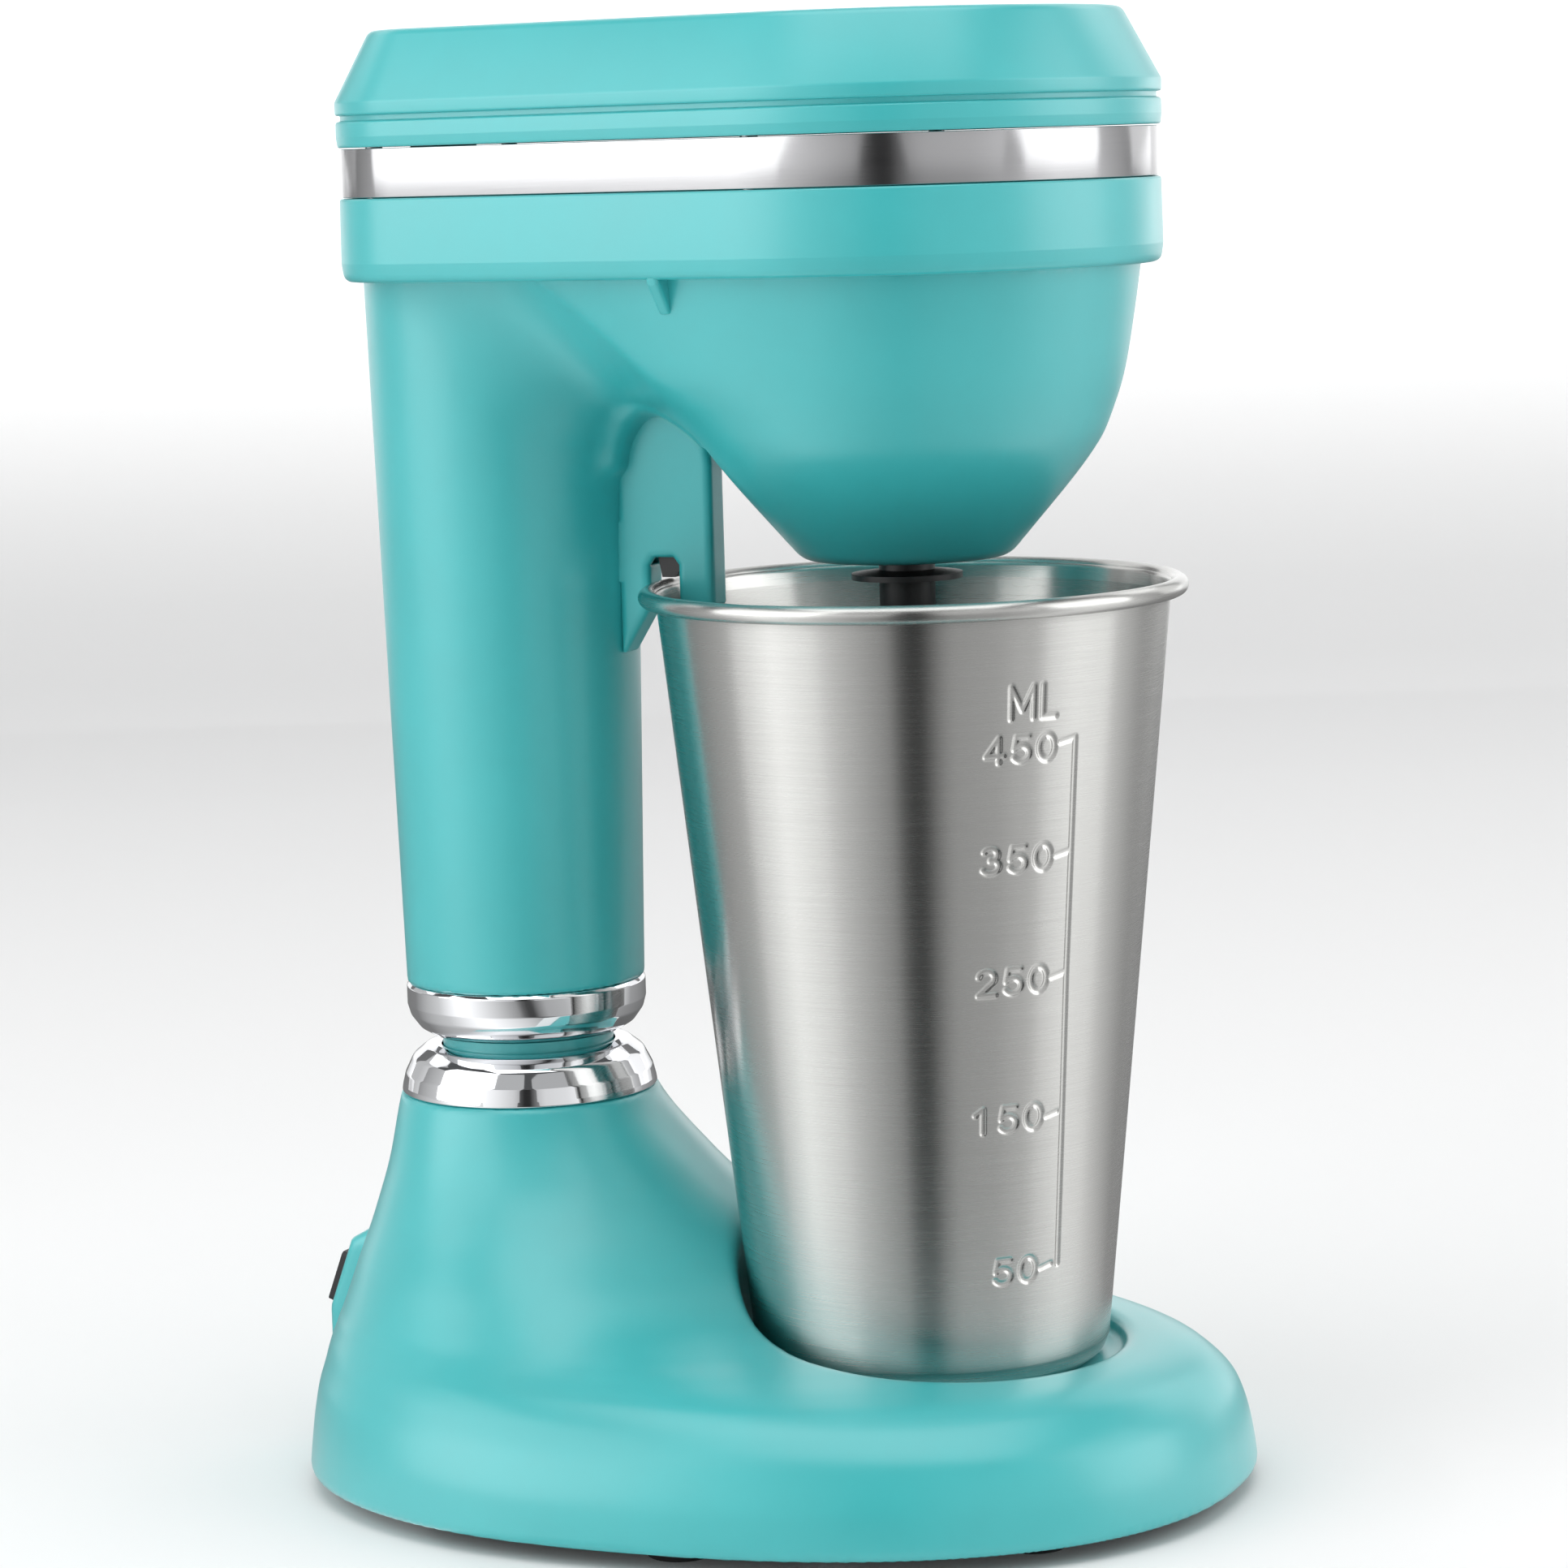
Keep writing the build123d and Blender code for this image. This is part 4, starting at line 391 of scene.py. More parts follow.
def arm_field(x, y, z):
    bell = true_distance(bell_hull, x, y, z)
    radius = np.hypot(x - SPINDLE_X, y)
    cone = (radius - CONE_FOOT_RADIUS - (z - CONE_FOOT_Z) * CONE_SLOPE) / math.hypot(1, CONE_SLOPE)
    bell = smooth_max(bell, cone, 1.2)
    bell = smooth_max(bell, BELL_BOTTOM_Z - z, 1.6)
    column = np.hypot(x - COLUMN_X, y) - COLUMN_FOOT_RADIUS - (z - COLUMN_FOOT_Z) * COLUMN_TAPER
    column = column / math.hypot(1, COLUMN_TAPER)
    solid = smooth_min(bell, column, ARM_BLEND)
    saddle = smooth_max(polygon_distance(x, z, SADDLE_OUTLINE), np.abs(y) - SADDLE_HALF, 2.0)
    solid = smooth_min(solid, saddle, 4.0)
    solid = smooth_max(solid, COLUMN_FOOT_Z - z, 0.5)
    # mouth for the spindle
    mouth = np.maximum(radius - MOUTH_RADIUS, z - MOUTH_TOP_Z)
    solid = smooth_max(solid, -mouth, 0.5)
    return np.maximum(solid, z - ARM_TOP_Z)


arm_points, arm_faces = skin(arm_field, (-74, -45, 87), (74, 45, 219), 1.0)
arm = mesh_piece("arm_moulding", arm_points, arm_faces)
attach(arm, "stand")


# ---------------------------------------------------------------- head: skirt, band and cover
# circles of the head's plan: round front and two rear corners, as (centre, radius)
HEAD_CIRCLES = [((26.5, 0.0), 48.2), ((-48.0, 12.35), 22.3), ((-48.0, -12.35), 22.3)]


def head_plan(inset, steps=360):
    """Points of the head's plan, shrunk by inset, evenly spread along its outline. Each stretch of
    the outline is part of the circle that reaches furthest in the direction it faces."""
    turn = np.radians(np.linspace(0, 360, 2881)[:-1])
    facing = np.stack([np.cos(turn), np.sin(turn)], axis=1)
    reach = np.stack([np.array(c) @ facing.T + r for c, r in HEAD_CIRCLES])
    owner = reach.argmax(0)
    centres = np.array([HEAD_CIRCLES[o][0] for o in owner])
    radii = np.array([HEAD_CIRCLES[o][1] for o in owner])
    spots = centres + radii[:, None] * facing
    loop = np.vstack([spots, spots[:1]])
    loop_n = np.vstack([facing, facing[:1]])
    run = np.concatenate([[0], np.cumsum(np.linalg.norm(np.diff(loop, axis=0), axis=1))])
    at = np.linspace(0, run[-1], steps, endpoint=False)
    p = np.stack([np.interp(at, run, loop[:, i]) for i in range(2)], axis=1)
    n = np.stack([np.interp(at, run, loop_n[:, i]) for i in range(2)], axis=1)
    n /= np.linalg.norm(n, axis=1)[:, None]
    return p - inset * n


def head_loft(name, profile, close=False, cap_top=False, steps=360):
    """A piece that follows the head's plan, from a profile of (inset, height)."""
    rings = []
    for inset, z in profile:
        plan = head_plan(inset, steps)
        rings.append(np.column_stack([plan, np.full(steps, z)]))
    points = list(np.concatenate(rings))
    faces = []
    rows = len(profile)
    for row in range(rows if close else rows - 1):
        nxt = (row + 1) % rows
        for s in range(steps):
            t = (s + 1) % steps
            faces.append((row * steps + s, row * steps + t, nxt * steps + t, nxt * steps + s))
    if cap_top:
        base_row = (rows - 1) * steps
        top = np.array(rings[-1])
        middle = top.mean(0)
        ring = base_row
        for share in (0.75, 0.5, 0.25):
            start = len(points)
            points.extend(middle + (top - middle) * share)
            for s in range(steps):
                t = (s + 1) % steps
                faces.append((ring + s, ring + t, start + t, start + s))
            ring = start
        points.append(middle)
        for s in range(steps):
            faces.append((ring + s, ring + (s + 1) % steps, len(points) - 1))
    return mesh_piece(name, points, faces)


skirt = head_loft(
    "skirt_moulding",
    rounded(
        [
            (9.0, 216.4),
            (9.0, SKIRT_BOTTOM_Z, 0),
            (0.6, SKIRT_BOTTOM_Z, 1.8),
            (0.15, 219.0, 1.0),
            (0.3, SKIRT_TOP_Z, 0.6),
            (3.4, SKIRT_TOP_Z, 0),
            (3.4, 238.9, 0),
            (5.0, 238.9),
        ]
    ),
)
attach(skirt, "stand")
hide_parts("arm_housing")
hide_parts("arm_housing")

band = head_loft(
    "steel_band",
    rounded(
        [(0.8, 230.45, 0.15), (0.8, 238.95, 0.15), (1.6, 238.95, 0.1), (1.6, 230.45, 0.1)],
        closed=True,
        arc=3,
    ),
    close=True,
    steps=720,
)
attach(band, "stand")
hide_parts("trim_band")

cover = head_loft(
    "cover_moulding",
    rounded(
        [
            (4.0, 239.6),
            (2.6, 239.15, 0.1),
            (0.3, 239.15, 0.5),
            (0.05, 241.0, 0.6),
            (0.1, 243.6, 0.5),
            (0.9, 243.8, 0.15),
            (0.9, 244.7, 0.15),
            (0.05, 244.8, 0.45),
            (0.0, 247.0, 1.0),
            (6.6, 259.35, 2.0),
            (12.0, 259.5),
        ]
    ),
    cap_top=True,
)
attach(cover, "stand")
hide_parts("top_cover")

# small ribs under the skirt, one on each side
RIB_OUTLINE = [(35.5, 216.2), (43.4, 216.2), (43.0, 214.9), (38.4, 209.8), (35.5, 209.7)]
RIB_X = 1.5
RIB_HALF = 1.1


def rib_field(x, y, z):
    return smooth_max(polygon_distance(np.abs(y), z, RIB_OUTLINE), np.abs(x - RIB_X) - RIB_HALF, 0.7)


for side, low_y, high_y in (("left", 33, 46), ("right", -46, -33)):
    rib = mesh_piece(f"skirt_rib_{side}", *skin(rib_field, (-1, low_y, 207), (4, high_y, 218), 0.3))
    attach(rib, "stand")

# ---------------------------------------------------------------- cup holder
HOLDER_OUTLINE = [
    (-24.9, 148.3), (-24.1, 148.5), (-19.4, 156.0), (-19.0, 156.8), (-19.0, 164.2), (-18.0, 165.5),
    (-14.4, 165.5), (-13.4, 164.2), (-13.4, 157.2), (-12.6, 156.4), (-7.4, 156.4), (-6.6, 157.2),
    (-6.6, 182.0), (-7.1, 185.6), (-9.2, 188.6), (-12.2, 191.4), (-14.8, 193.3), (-17.4, 194.0),
    (-20.0, 193.0), (-22.0, 190.6), (-23.0, 187.6), (-23.6, 184.0), (-24.9, 184.0),
]

HOLDER_HALF = 3.4


def holder_field(x, y, z):
    """The fin with its notch, the tongue that enters the column, and the slot for the lever."""
    plate = smooth_max(polygon_distance(x, z, HOLDER_OUTLINE), np.abs(y) - HOLDER_HALF, 1.5)
    tongue = np.maximum(np.abs(z - 166.6) - 5.4, np.abs(x + 38) - 14.0)
    tongue = np.maximum(tongue, np.abs(y) - HOLDER_HALF)
    solid = np.minimum(plate, tongue)
    low = np.where(x < -25, 162.6, 164.2)
    slot = np.maximum(np.maximum(np.abs(y) - 1.8, low - z), np.maximum(z - 174.6, x + 12.2))
    return smooth_max(solid, -slot, 0.25)


holder = mesh_piece("holder_fin", *skin(holder_field, (-53, -5, 146), (-5, 5, 196), 0.4))
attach(holder, "stand")
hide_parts("cup_holder")

# ---------------------------------------------------------------- cup
WALL_LOW = (31.5, 27.6)
WALL_HIGH = (44.8, 158.0)
SCALE_ANGLE = (-57.0, -26.0)
SCALE_HEIGHT = (40.5, 150.5)
SCALE_STROKE = 0.72
SCALE_SIDE = 0.55
SCALE_DEPTH = 0.26
# each mark of the scale: its text, its foot, and the height of its tick
MARKS = [
    ("ML", 141.5, None),
    ("450", 134.2, 137.2),
    ("350", 115.4, 117.8),
    ("250", 94.3, 96.7),
    ("150", 70.2, 72.3),
    ("50", 43.1, 45.3),
]


def arc_points(cx, cy, rx, ry, start, end, count=14):
    turn = np.radians(np.linspace(start, end, count))
    return [(cx + rx * math.cos(t), cy + ry * math.sin(t)) for t in turn]


# strokes of each character in a box 1 high
GLYPHS = {
    "0": [arc_points(0.31, 0.5, 0.31, 0.5, 0, 360, 30)],
    "1": [[(0.08, 0.76), (0.36, 1.0), (0.36, 0.0)]],
    "2": [arc_points(0.31, 0.70, 0.29, 0.30, 165, -35, 16) + [(0.02, 0.0), (0.62, 0.0)]],
    "3": [arc_points(0.30, 0.75, 0.26, 0.25, 150, -90, 14), arc_points(0.30, 0.27, 0.31, 0.27, 90, -150, 16)],
    "4": [[(0.46, 0.0), (0.46, 1.0), (0.0, 0.27), (0.62, 0.27)]],
    "5": [[(0.57, 1.0), (0.12, 1.0), (0.05, 0.50)] + arc_points(0.30, 0.32, 0.31, 0.32, 135, -150, 18)],
    "M": [[(0.0, 0.0), (0.0, 1.0), (0.42, 0.25), (0.84, 1.0), (0.84, 0.0)]],
    "L": [[(0.0, 1.0), (0.0, 0.0), (0.52, 0.0)]],
}
GLYPH_WIDTH = {"M": 0.84, "L": 0.52}
DIGIT_WIDTH = 0.62
GLYPH_SCALE = 5.0
GLYPH_SPACE = 1.75
LETTER_HEIGHT = 5.4
DIGIT_HEIGHT = 4.2
# where the text ends, the ticks run and the scale's long line goes, as degrees from +X
TEXT_RIGHT = -35.9
TICK_ANGLES = (-34.3, -30.4)
SCALE_LINE = [(-30.1, 137.5), (-29.6, 96.5), (-27.8, 45.2)]


def wall_radius(z):
    return WALL_LOW[0] + (z - WALL_LOW[1]) * (WALL_HIGH[0] - WALL_LOW[0]) / (WALL_HIGH[1] - WALL_LOW[1])


def scale_strokes():
    """The strokes of the cup's scale as lists of (angle in degrees, height)."""
    strokes = []
    for word, foot, tick in MARKS:
        tall = LETTER_HEIGHT if word == "ML" else DIGIT_HEIGHT
        degree = math.degrees(1 / wall_radius(foot + tall / 2))
        width = [GLYPH_WIDTH.get(c, DIGIT_WIDTH) * GLYPH_SCALE for c in word]
        at = TEXT_RIGHT - (sum(width) + GLYPH_SPACE * (len(word) - 1)) * degree
        for c, w in zip(word, width):
            for stroke in GLYPHS[c]:
                strokes.append([(at + px * GLYPH_SCALE * degree, foot + py * tall) for px, py in stroke])
            at += (w + GLYPH_SPACE) * degree
        if tick is not None:
            strokes.append([(TICK_ANGLES[0], tick - 0.3), (TICK_ANGLES[1], tick + 0.25)])
    strokes.append(SCALE_LINE)
    return strokes


def stroke_distance(angle, z, strokes):
    """Distance in millimetres on the cup's wall from each point to the nearest stroke."""
    per_degree = np.radians(1) * wall_radius(z)
    nearest = np.full(angle.shape, 9.0)
    for stroke in strokes:
        for (a0, z0), (a1, z1) in zip(stroke[:-1], stroke[1:]):
            ex, ez = (a1 - a0) * per_degree, z1 - z0
            px, pz = (angle - a0) * per_degree, z - z0
            t = np.clip((px * ex + pz * ez) / (ex**2 + ez**2 + 1e-9), 0, 1)
            nearest = np.minimum(nearest, np.hypot(px - t * ex, pz - t * ez))
    return nearest


fine = np.arange(SCALE_ANGLE[0], SCALE_ANGLE[1], 0.26)
angles = np.concatenate([np.linspace(SCALE_ANGLE[1], SCALE_ANGLE[0] + 360, 170, endpoint=False), fine + 360])
below_scale = np.arange(29.5, SCALE_HEIGHT[0], 2.0)
beside_scale = np.arange(*SCALE_HEIGHT, 0.2)
above_scale = [152.0, 154.5, 157.0]
wall_z = np.concatenate([below_scale, beside_scale, above_scale])
grid_angle, grid_z = np.meshgrid(angles, wall_z)
depth = stroke_distance(np.where(grid_angle > 180, grid_angle - 360, grid_angle), grid_z, scale_strokes())
depth = np.clip((SCALE_STROKE - depth) / SCALE_SIDE, 0, 1)
depth = SCALE_DEPTH * depth**2 * (3 - 2 * depth)
wall = wall_radius(grid_z) - depth
FOOT_PROFILE = rounded(
    [
        (0.0, 24.85),
        (26.9, 24.85, 0.6),
        (27.5, 23.65, 0.4),
        (28.7, 23.62, 0.8),
        (30.6, 25.2, 2.0),
        (31.5, 27.6, 1.5),
        (31.6, 28.6),
    ]
)
BEAD_CENTRE = (46.4, 160.0)
BEAD_RADIUS = 1.6
bead = arc_points(*BEAD_CENTRE, BEAD_RADIUS, BEAD_RADIUS, 215, -110, 26)
lip = [(44.86, 158.5), (45.0, 158.95)] + bead
inner = rounded(
    [
        (45.5, 161.1),
        (44.6, 160.4, 1.0),
        (44.15, 158.0, 1.0),
        (30.9, 27.7, 1.5),
        (30.0, 25.8, 1.5),
        (28.3, 25.4, 0.5),
        (0.0, 25.4),
    ]
)


def cup_rings():
    """Every ring of the cup from the middle of its underside, up the wall, over the rim and down inside."""
    radii, heights = [], []
    for r, z in FOOT_PROFILE:
        radii.append(np.full(len(angles), r))
        heights.append(np.full(len(angles), z))
    for row in range(len(wall_z)):
        radii.append(wall[row])
        heights.append(np.full(len(angles), wall_z[row]))
    for r, z in lip + inner:
        radii.append(np.full(len(angles), r))
        heights.append(np.full(len(angles), z))
    return np.array(radii), np.array(heights)


ring_r, ring_z = cup_rings()
turn = np.radians(angles)
cup_points = np.stack([CUP_X + ring_r * np.cos(turn), ring_r * np.sin(turn), ring_z], axis=-1)
rows, cols = ring_r.shape
index = np.arange(rows * cols).reshape(rows, cols)
after = np.roll(index, -1, axis=1)
cup_faces = np.stack([index[:-1], after[:-1], after[1:], index[1:]], axis=-1).reshape(-1, 4)
cup = mesh_piece("steel_cup", cup_points.reshape(-1, 3), cup_faces)
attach(cup, "cup")
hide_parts("cup")

# ---------------------------------------------------------------- materials
def material(name, colour, metallic=0.0, roughness=0.4, coat=0.0, coat_roughness=0.05, anisotropic=0.0):
    made = bpy.data.materials.new(name)
    made.use_nodes = True
    shader = made.node_tree.nodes["Principled BSDF"]
    shader.inputs["Base Color"].default_value = (*colour, 1)
    shader.inputs["Metallic"].default_value = metallic
    shader.inputs["Roughness"].default_value = roughness
    shader.inputs["Coat Weight"].default_value = coat
    shader.inputs["Coat Roughness"].default_value = coat_roughness
    shader.inputs["Anisotropic"].default_value = anisotropic
    shader.inputs["IOR"].default_value = 1.5
    return made, made.node_tree, shader


def grain(tree, scale, detail=3.0, roughness=0.6):
    """Noise in the object's own space, stretched by scale = (x, y, z)."""
    where = tree.nodes.new("ShaderNodeTexCoord")
    stretch = tree.nodes.new("ShaderNodeMapping")
    stretch.inputs["Scale"].default_value = scale
    noise = tree.nodes.new("ShaderNodeTexNoise")
    noise.inputs["Scale"].default_value = 1.0
    noise.inputs["Detail"].default_value = detail
    noise.inputs["Roughness"].default_value = roughness
    tree.links.new(where.outputs["Object"], stretch.inputs["Vector"])
    tree.links.new(stretch.outputs["Vector"], noise.inputs["Vector"])
    return noise.outputs["Fac"]


def spread(tree, value, low, high):
    """A noise value mapped to low..high."""
    change = tree.nodes.new("ShaderNodeMapRange")
    change.inputs["From Min"].default_value = 0.3
    change.inputs["From Max"].default_value = 0.7
    change.inputs["To Min"].default_value = low
    change.inputs["To Max"].default_value = high
    tree.links.new(value, change.inputs["Value"])
    return change.outputs["Result"]


def between(tree, value, first, second):
    """A colour that goes from first to second with a noise value."""
    ramp = tree.nodes.new("ShaderNodeValToRGB")
    ramp.color_ramp.elements[0].position = 0.3
    ramp.color_ramp.elements[0].color = (*first, 1)
    ramp.color_ramp.elements[1].position = 0.7
    ramp.color_ramp.elements[1].color = (*second, 1)
    tree.links.new(value, ramp.inputs["Fac"])
    return ramp.outputs["Color"]


def bumps(tree, shader, value, distance, strength=1.0):
    bump = tree.nodes.new("ShaderNodeBump")
    bump.inputs["Distance"].default_value = distance
    bump.inputs["Strength"].default_value = strength
    tree.links.new(value, bump.inputs["Height"])
    tree.links.new(bump.outputs["Normal"], shader.inputs["Normal"])


def moulded_plastic(name, colour, roughness, coat=0.0, shift=0.03, texture=1e-5):
    made, tree, shader = material(name, colour, roughness=roughness, coat=coat, coat_roughness=0.30)
    cloud = grain(tree, (45, 45, 45))
    light = [min(1, c * (1 + shift)) for c in colour]
    dark = [c * (1 - shift) for c in colour]
    tree.links.new(between(tree, cloud, dark, light), shader.inputs["Base Color"])
    tree.links.new(spread(tree, cloud, roughness * 0.92, roughness * 1.08), shader.inputs["Roughness"])
    bumps(tree, shader, grain(tree, (1600, 1600, 1600), detail=2), texture)
    return made


def turned_steel(name, colour, roughness, scale, depth, anisotropic=0.0, shift=0.06):
    made, tree, shader = material(name, colour, metallic=1.0, roughness=roughness, anisotropic=anisotropic)
    lines = grain(tree, scale, detail=4, roughness=0.7)
    light = [min(1, c * (1 + shift)) for c in colour]
    dark = [c * (1 - shift) for c in colour]
    tree.links.new(between(tree, lines, dark, light), shader.inputs["Base Color"])
    tree.links.new(spread(tree, lines, roughness * 0.9, roughness * 1.1), shader.inputs["Roughness"])
    bumps(tree, shader, lines, depth)
    if anisotropic:
        # the brushed lines run round the axis, so the gloss spreads along it
        shader.inputs["Anisotropic Rotation"].default_value = 0.25
        along = tree.nodes.new("ShaderNodeTangent")
        along.direction_type = "RADIAL"
        along.axis = "Z"
        tree.links.new(along.outputs["Tangent"], shader.inputs["Tangent"])
    return made


TEAL = (0.042, 0.50, 0.515)
looks = {
    "housing_plastic": moulded_plastic("teal_plastic", TEAL, 0.40, coat=1.0),
    "holder_plastic": moulded_plastic("teal_plastic_holder", TEAL, 0.38, coat=0.4),
    "chrome": turned_steel("chrome_plate", (0.80, 0.81, 0.83), 0.05, (30, 30, 30), 2e-7, shift=0.01),
    "brushed_steel": turned_steel(
        "brushed_band", (0.46, 0.46, 0.47), 0.20, (60, 60, 9000), 8e-7, anisotropic=0.93, shift=0.03
    ),
    "cup_steel": turned_steel(
        "brushed_cup", (0.525, 0.525, 0.51), 0.26, (60, 60, 6000), 1.0e-6, anisotropic=0.93, shift=0.03
    ),
    "black_plastic": moulded_plastic("black_plastic", (0.012, 0.012, 0.013), 0.38, texture=2e-5),
    "screw_steel": turned_steel("screw_steel", (0.55, 0.55, 0.56), 0.32, (400, 400, 400), 2e-6),
    "rubber": moulded_plastic("rubber", (0.018, 0.018, 0.018), 0.75, texture=4e-5),
    "bracket_metal": turned_steel("bracket_metal", (0.66, 0.67, 0.69), 0.38, (200, 200, 200), 3e-6),
    "lamination": turned_steel("lamination", (0.20, 0.20, 0.22), 0.5, (20, 20, 9000), 2e-5),
    "copper": turned_steel("copper_winding", (0.75, 0.30, 0.14), 0.4, (20, 20, 5000), 4e-5),
    "brass": turned_steel("brass", (0.80, 0.58, 0.25), 0.3, (300, 300, 300), 2e-6),
    "carbon": moulded_plastic("carbon", (0.02, 0.02, 0.022), 0.7, texture=3e-5),
    "board": moulded_plastic("circuit_board", (0.02, 0.13, 0.05), 0.45),
    "wire_sleeve": moulded_plastic("wire_sleeve", (0.03, 0.03, 0.035), 0.6, texture=6e-5),
    "fan_plastic": moulded_plastic("fan_plastic", (0.70, 0.69, 0.64), 0.5),
}


def paint(obj, look):
    obj.data.materials.clear()
    obj.data.materials.append(looks[look])


slots = {part["node"]: part["material_slot"] for part in frame["record"]["subparts"]}
for name, obj in nodes.items():
    paint(obj, slots[name])

own = {
    base: "housing_plastic",
    neck: "housing_plastic",
    arm: "housing_plastic",
    skirt: "housing_plastic",
    cover: "housing_plastic",
    holder: "holder_plastic",
    lower_collar: "chrome",
    upper_collar: "chrome",
    band: "brushed_steel",
    cup: "cup_steel",
}
for obj, look in own.items():
    paint(obj, look)
for obj in bpy.data.objects:
    if obj.name.startswith("skirt_rib"):
        paint(obj, "housing_plastic")

# ---------------------------------------------------------------- floor, light and camera
scene = bpy.context.scene
scene.view_settings.view_transform = "Standard"

# camera: angles in radians, lengths of the lens in millimetres, the rest in metres
AZIMUTH = 0.40
ELEVATION = 0.132
DISTANCE = 0.847
ROLL = 0.030
LENS = 110.944
SENSOR = 36.0
# the target's place beside and above the middle of the cup's mouth
PICTURE_SHIFT = -0.023484
PICTURE_LIFT = -0.033581
level = Vector((-math.sin(AZIMUTH), math.cos(AZIMUTH), 0))
forward = level * math.cos(ELEVATION) - Vector((0, 0, math.sin(ELEVATION)))
right = Vector((math.cos(AZIMUTH), math.sin(AZIMUTH), 0))
up = right.cross(forward)
target = Vector((0.030, 0, 0.160 + PICTURE_LIFT)) + right * PICTURE_SHIFT
tilted_right = right * math.cos(ROLL) - up * math.sin(ROLL)
tilted_up = right * math.sin(ROLL) + up * math.cos(ROLL)
lens = bpy.data.cameras.new("camera")
lens.sensor_width = SENSOR
lens.lens = LENS
camera = bpy.data.objects.new("camera", lens)
turned_camera = Matrix((tilted_right, tilted_up, -forward)).transposed().to_4x4()
camera.matrix_world = Matrix.Translation(target - forward * DISTANCE) @ turned_camera
scene.collection.objects.link(camera)
scene.camera = camera


def softbox(name, azimuth, elevation, distance, width, height, power):
    """An area light facing the mixer, placed by azimuth as seen from the camera (degrees, + is right)."""
    turn = AZIMUTH + math.radians(azimuth)
    lift = math.radians(elevation)
    lamp = bpy.data.lights.new(name, "AREA")
    lamp.shape = "RECTANGLE"
    lamp.size = width
    lamp.size_y = height
    lamp.energy = power
    box = bpy.data.objects.new(name, lamp)
    aim = Vector((0, 0, 0.13))
    flat = Vector((math.sin(turn), -math.cos(turn), 0))
    box.location = aim + distance * (flat * math.cos(lift) + Vector((0, 0, math.sin(lift))))
    box.rotation_euler = (box.location - aim).to_track_quat("Z", "Y").to_euler()
    scene.collection.objects.link(box)


# a pale floor that curves up into a backdrop behind the mixer; the backdrop glows with painted light, an
# emission that grows from almost none at the floor towards its top
FLOOR_NEAR = -9000.0
SWEEP_NEAR = 1150.0
SWEEP_RADIUS = 1300.0
SWEEP_TOP = 3800.0
SWEEP_HALF = 9000.0
sweep_line = [(FLOOR_NEAR, 0.0), (SWEEP_NEAR - 200, 0.0), (SWEEP_NEAR, 0.0)]
for lift in np.radians(np.linspace(6, 90, 15)):
    sweep_line.append((SWEEP_NEAR + SWEEP_RADIUS * math.sin(lift), SWEEP_RADIUS * (1 - math.cos(lift))))
sweep_line.append((SWEEP_NEAR + SWEEP_RADIUS, SWEEP_TOP))
sweep_points = []
for run, z in sweep_line:
    for side in (-SWEEP_HALF, SWEEP_HALF):
        sweep_points.append((level.x * run + right.x * side, level.y * run + right.y * side, z))
sweep_faces = [(2 * i, 2 * i + 1, 2 * i + 3, 2 * i + 2) for i in range(len(sweep_line) - 1)]
sweep = mesh_piece("floor_and_backdrop", sweep_points, sweep_faces)
# painted light: the backdrop's paint also glows, more strongly higher up
glow, glow_tree, glow_shader = material("backdrop_painted_glow", (0.90, 0.90, 0.90), roughness=0.9)
height = glow_tree.nodes.new("ShaderNodeSeparateXYZ")
where = glow_tree.nodes.new("ShaderNodeTexCoord")
fade = glow_tree.nodes.new("ShaderNodeMapRange")
fade.interpolation_type = "SMOOTHSTEP"
fade.inputs["From Min"].default_value = -0.02
fade.inputs["From Max"].default_value = 0.22
fade.inputs["To Max"].default_value = 0.72
glow_tree.links.new(where.outputs["Object"], height.inputs["Vector"])
glow_tree.links.new(height.outputs["Z"], fade.inputs["Value"])
glow_tree.links.new(fade.outputs["Result"], glow_shader.inputs["Emission Strength"])
glow_shader.inputs["Emission Color"].default_value = (1, 1, 1, 1)
sweep.data.materials.append(glow)

# studio cards all round that glow with painted light and only the gloss sees, hidden from the camera and from
# soft light, as (degrees from the camera's side, + is right; brightness of the glow)
CARD_TONES = [
    (-180, 0.12), (-128, 0.20), (-110, 0.45), (-92, 0.65), (-68, 1.35), (-45, 0.88), (-24, 0.48), (-14, 0.30),
    (-9, 0.10), (-4, 0.02), (1, 0.02), (6, 0.18), (15, 0.40), (35, 0.47), (56, 0.73), (75, 1.10), (94, 1.02),
    (128, 0.32), (180, 0.12),
]
CARD_INNER = 92.0
CARD_OUTER = 2600.0
CARD_TOP = 1500.0
CARD_LIFT = 1.0
CARD_STEPS = 180


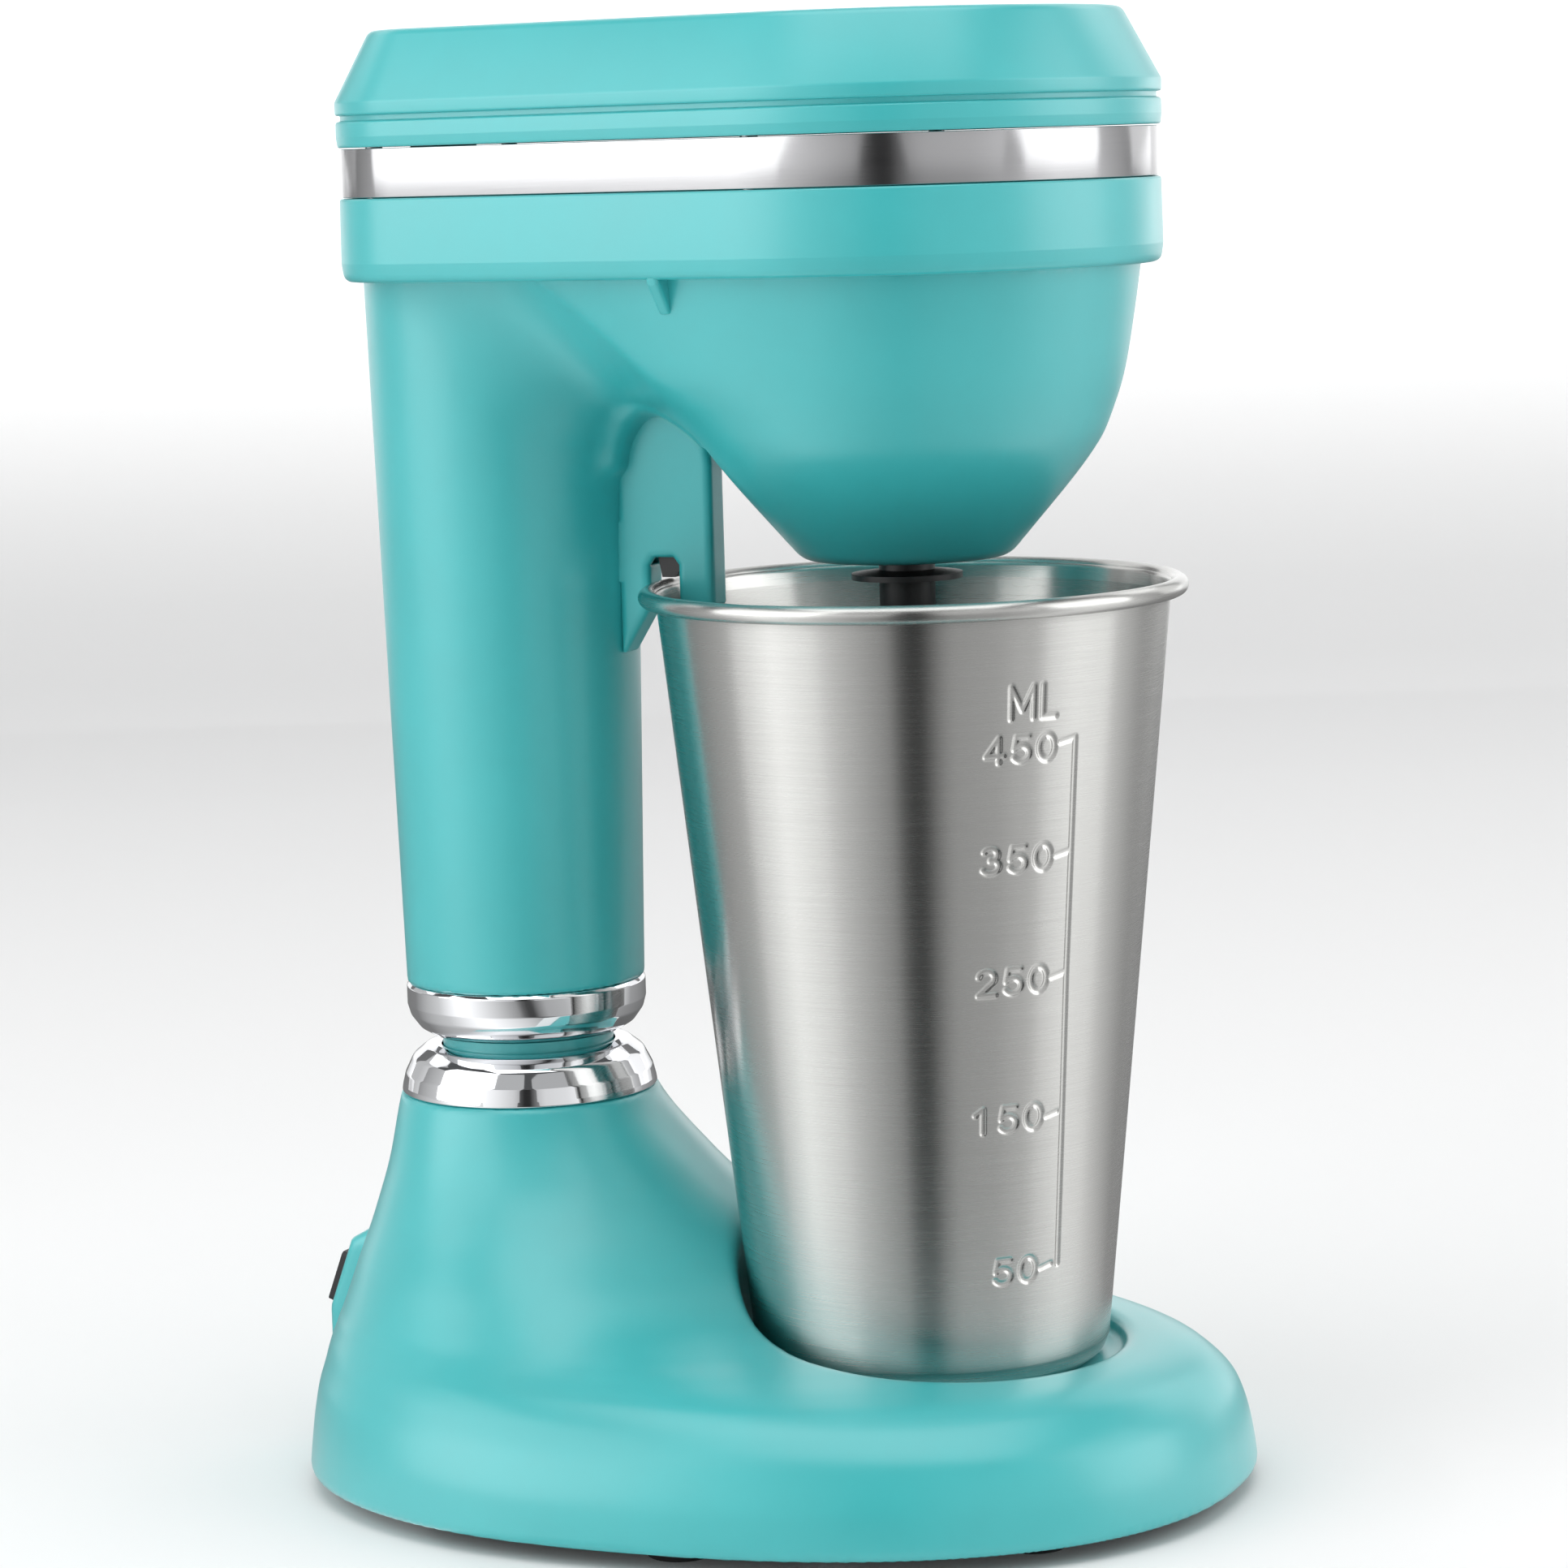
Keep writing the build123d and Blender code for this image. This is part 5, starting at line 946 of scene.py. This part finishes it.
def card_tones(tree):
    """The cards' glow, painted light, by the direction from the cup's axis."""
    where = tree.nodes.new("ShaderNodeTexCoord")
    spot = tree.nodes.new("ShaderNodeSeparateXYZ")
    tree.links.new(where.outputs["Object"], spot.inputs["Vector"])
    facing = tree.nodes.new("ShaderNodeMath")
    facing.operation = "ARCTAN2"
    tree.links.new(spot.outputs["Y"], facing.inputs[0])
    tree.links.new(spot.outputs["X"], facing.inputs[1])
    share = tree.nodes.new("ShaderNodeMapRange")
    share.inputs["From Min"].default_value = -math.pi
    share.inputs["From Max"].default_value = math.pi
    tree.links.new(facing.outputs["Value"], share.inputs["Value"])
    ramp = tree.nodes.new("ShaderNodeValToRGB")
    stops = ramp.color_ramp.elements
    stops.remove(stops[0])
    for i, (degrees, tone) in enumerate(CARD_TONES):
        place = (degrees + 180) / 360
        stop = stops[0] if i == 0 else stops.new(place)
        stop.position = place
        stop.color = (tone, tone, tone, 1)
    tree.links.new(share.outputs["Result"], ramp.inputs["Fac"])
    return ramp.outputs["Color"]


card_turn = np.linspace(0, 2 * np.pi, CARD_STEPS, endpoint=False)
card_rows = [(CARD_INNER, CARD_LIFT), (CARD_OUTER, CARD_LIFT), (CARD_OUTER, CARD_TOP)]
card_points = [(r * math.cos(t), r * math.sin(t), z) for r, z in card_rows for t in card_turn]
card_faces = []
for row in range(len(card_rows) - 1):
    for step in range(CARD_STEPS):
        a = row * CARD_STEPS + step
        b = row * CARD_STEPS + (step + 1) % CARD_STEPS
        card_faces.append((a, b, b + CARD_STEPS, a + CARD_STEPS))
cards = mesh_piece("studio_cards", card_points, card_faces, smooth=False)
# the cards' own +X faces the camera
cards.location = (CUP_X * 0.001, 0, 0)
cards.rotation_euler = (0, 0, AZIMUTH - math.pi / 2)
cards.visible_camera = False
cards.visible_diffuse = False
cards.visible_shadow = False
cards.visible_transmission = False
# the cards glow: painted light that shows only in reflections
card_look, card_tree, card_shader = material("studio_card", (0, 0, 0), roughness=1.0)
card_tree.links.new(card_tones(card_tree), card_shader.inputs["Emission Color"])
card_shader.inputs["Emission Strength"].default_value = 1.0
card_look.cycles.emission_sampling = "NONE"
cards.data.materials.append(card_look)

softbox("left", -67, 24, 1.5, 1.4, 1.5, 12.5)
softbox("right", 78, 22, 1.6, 1.2, 1.5, 10.0)
softbox("front_left", -26, 20, 1.5, 0.9, 1.4, 1.7)
softbox("front_right", 29, 20, 1.5, 1.15, 1.4, 2.0)
softbox("top", 0, 80, 1.4, 1.4, 1.2, 12.0)
softbox("back_left", -130, 20, 1.8, 0.8, 1.5, 1.4)
softbox("back_right", 135, 20, 1.8, 0.8, 1.5, 3.2)

world = bpy.data.worlds.new("studio")
world.use_nodes = True
world.node_tree.nodes["Background"].inputs["Color"].default_value = (0.96, 0.98, 1.0, 1)
world.node_tree.nodes["Background"].inputs["Strength"].default_value = 0.10
scene.world = world

bpy.context.view_layer.update()
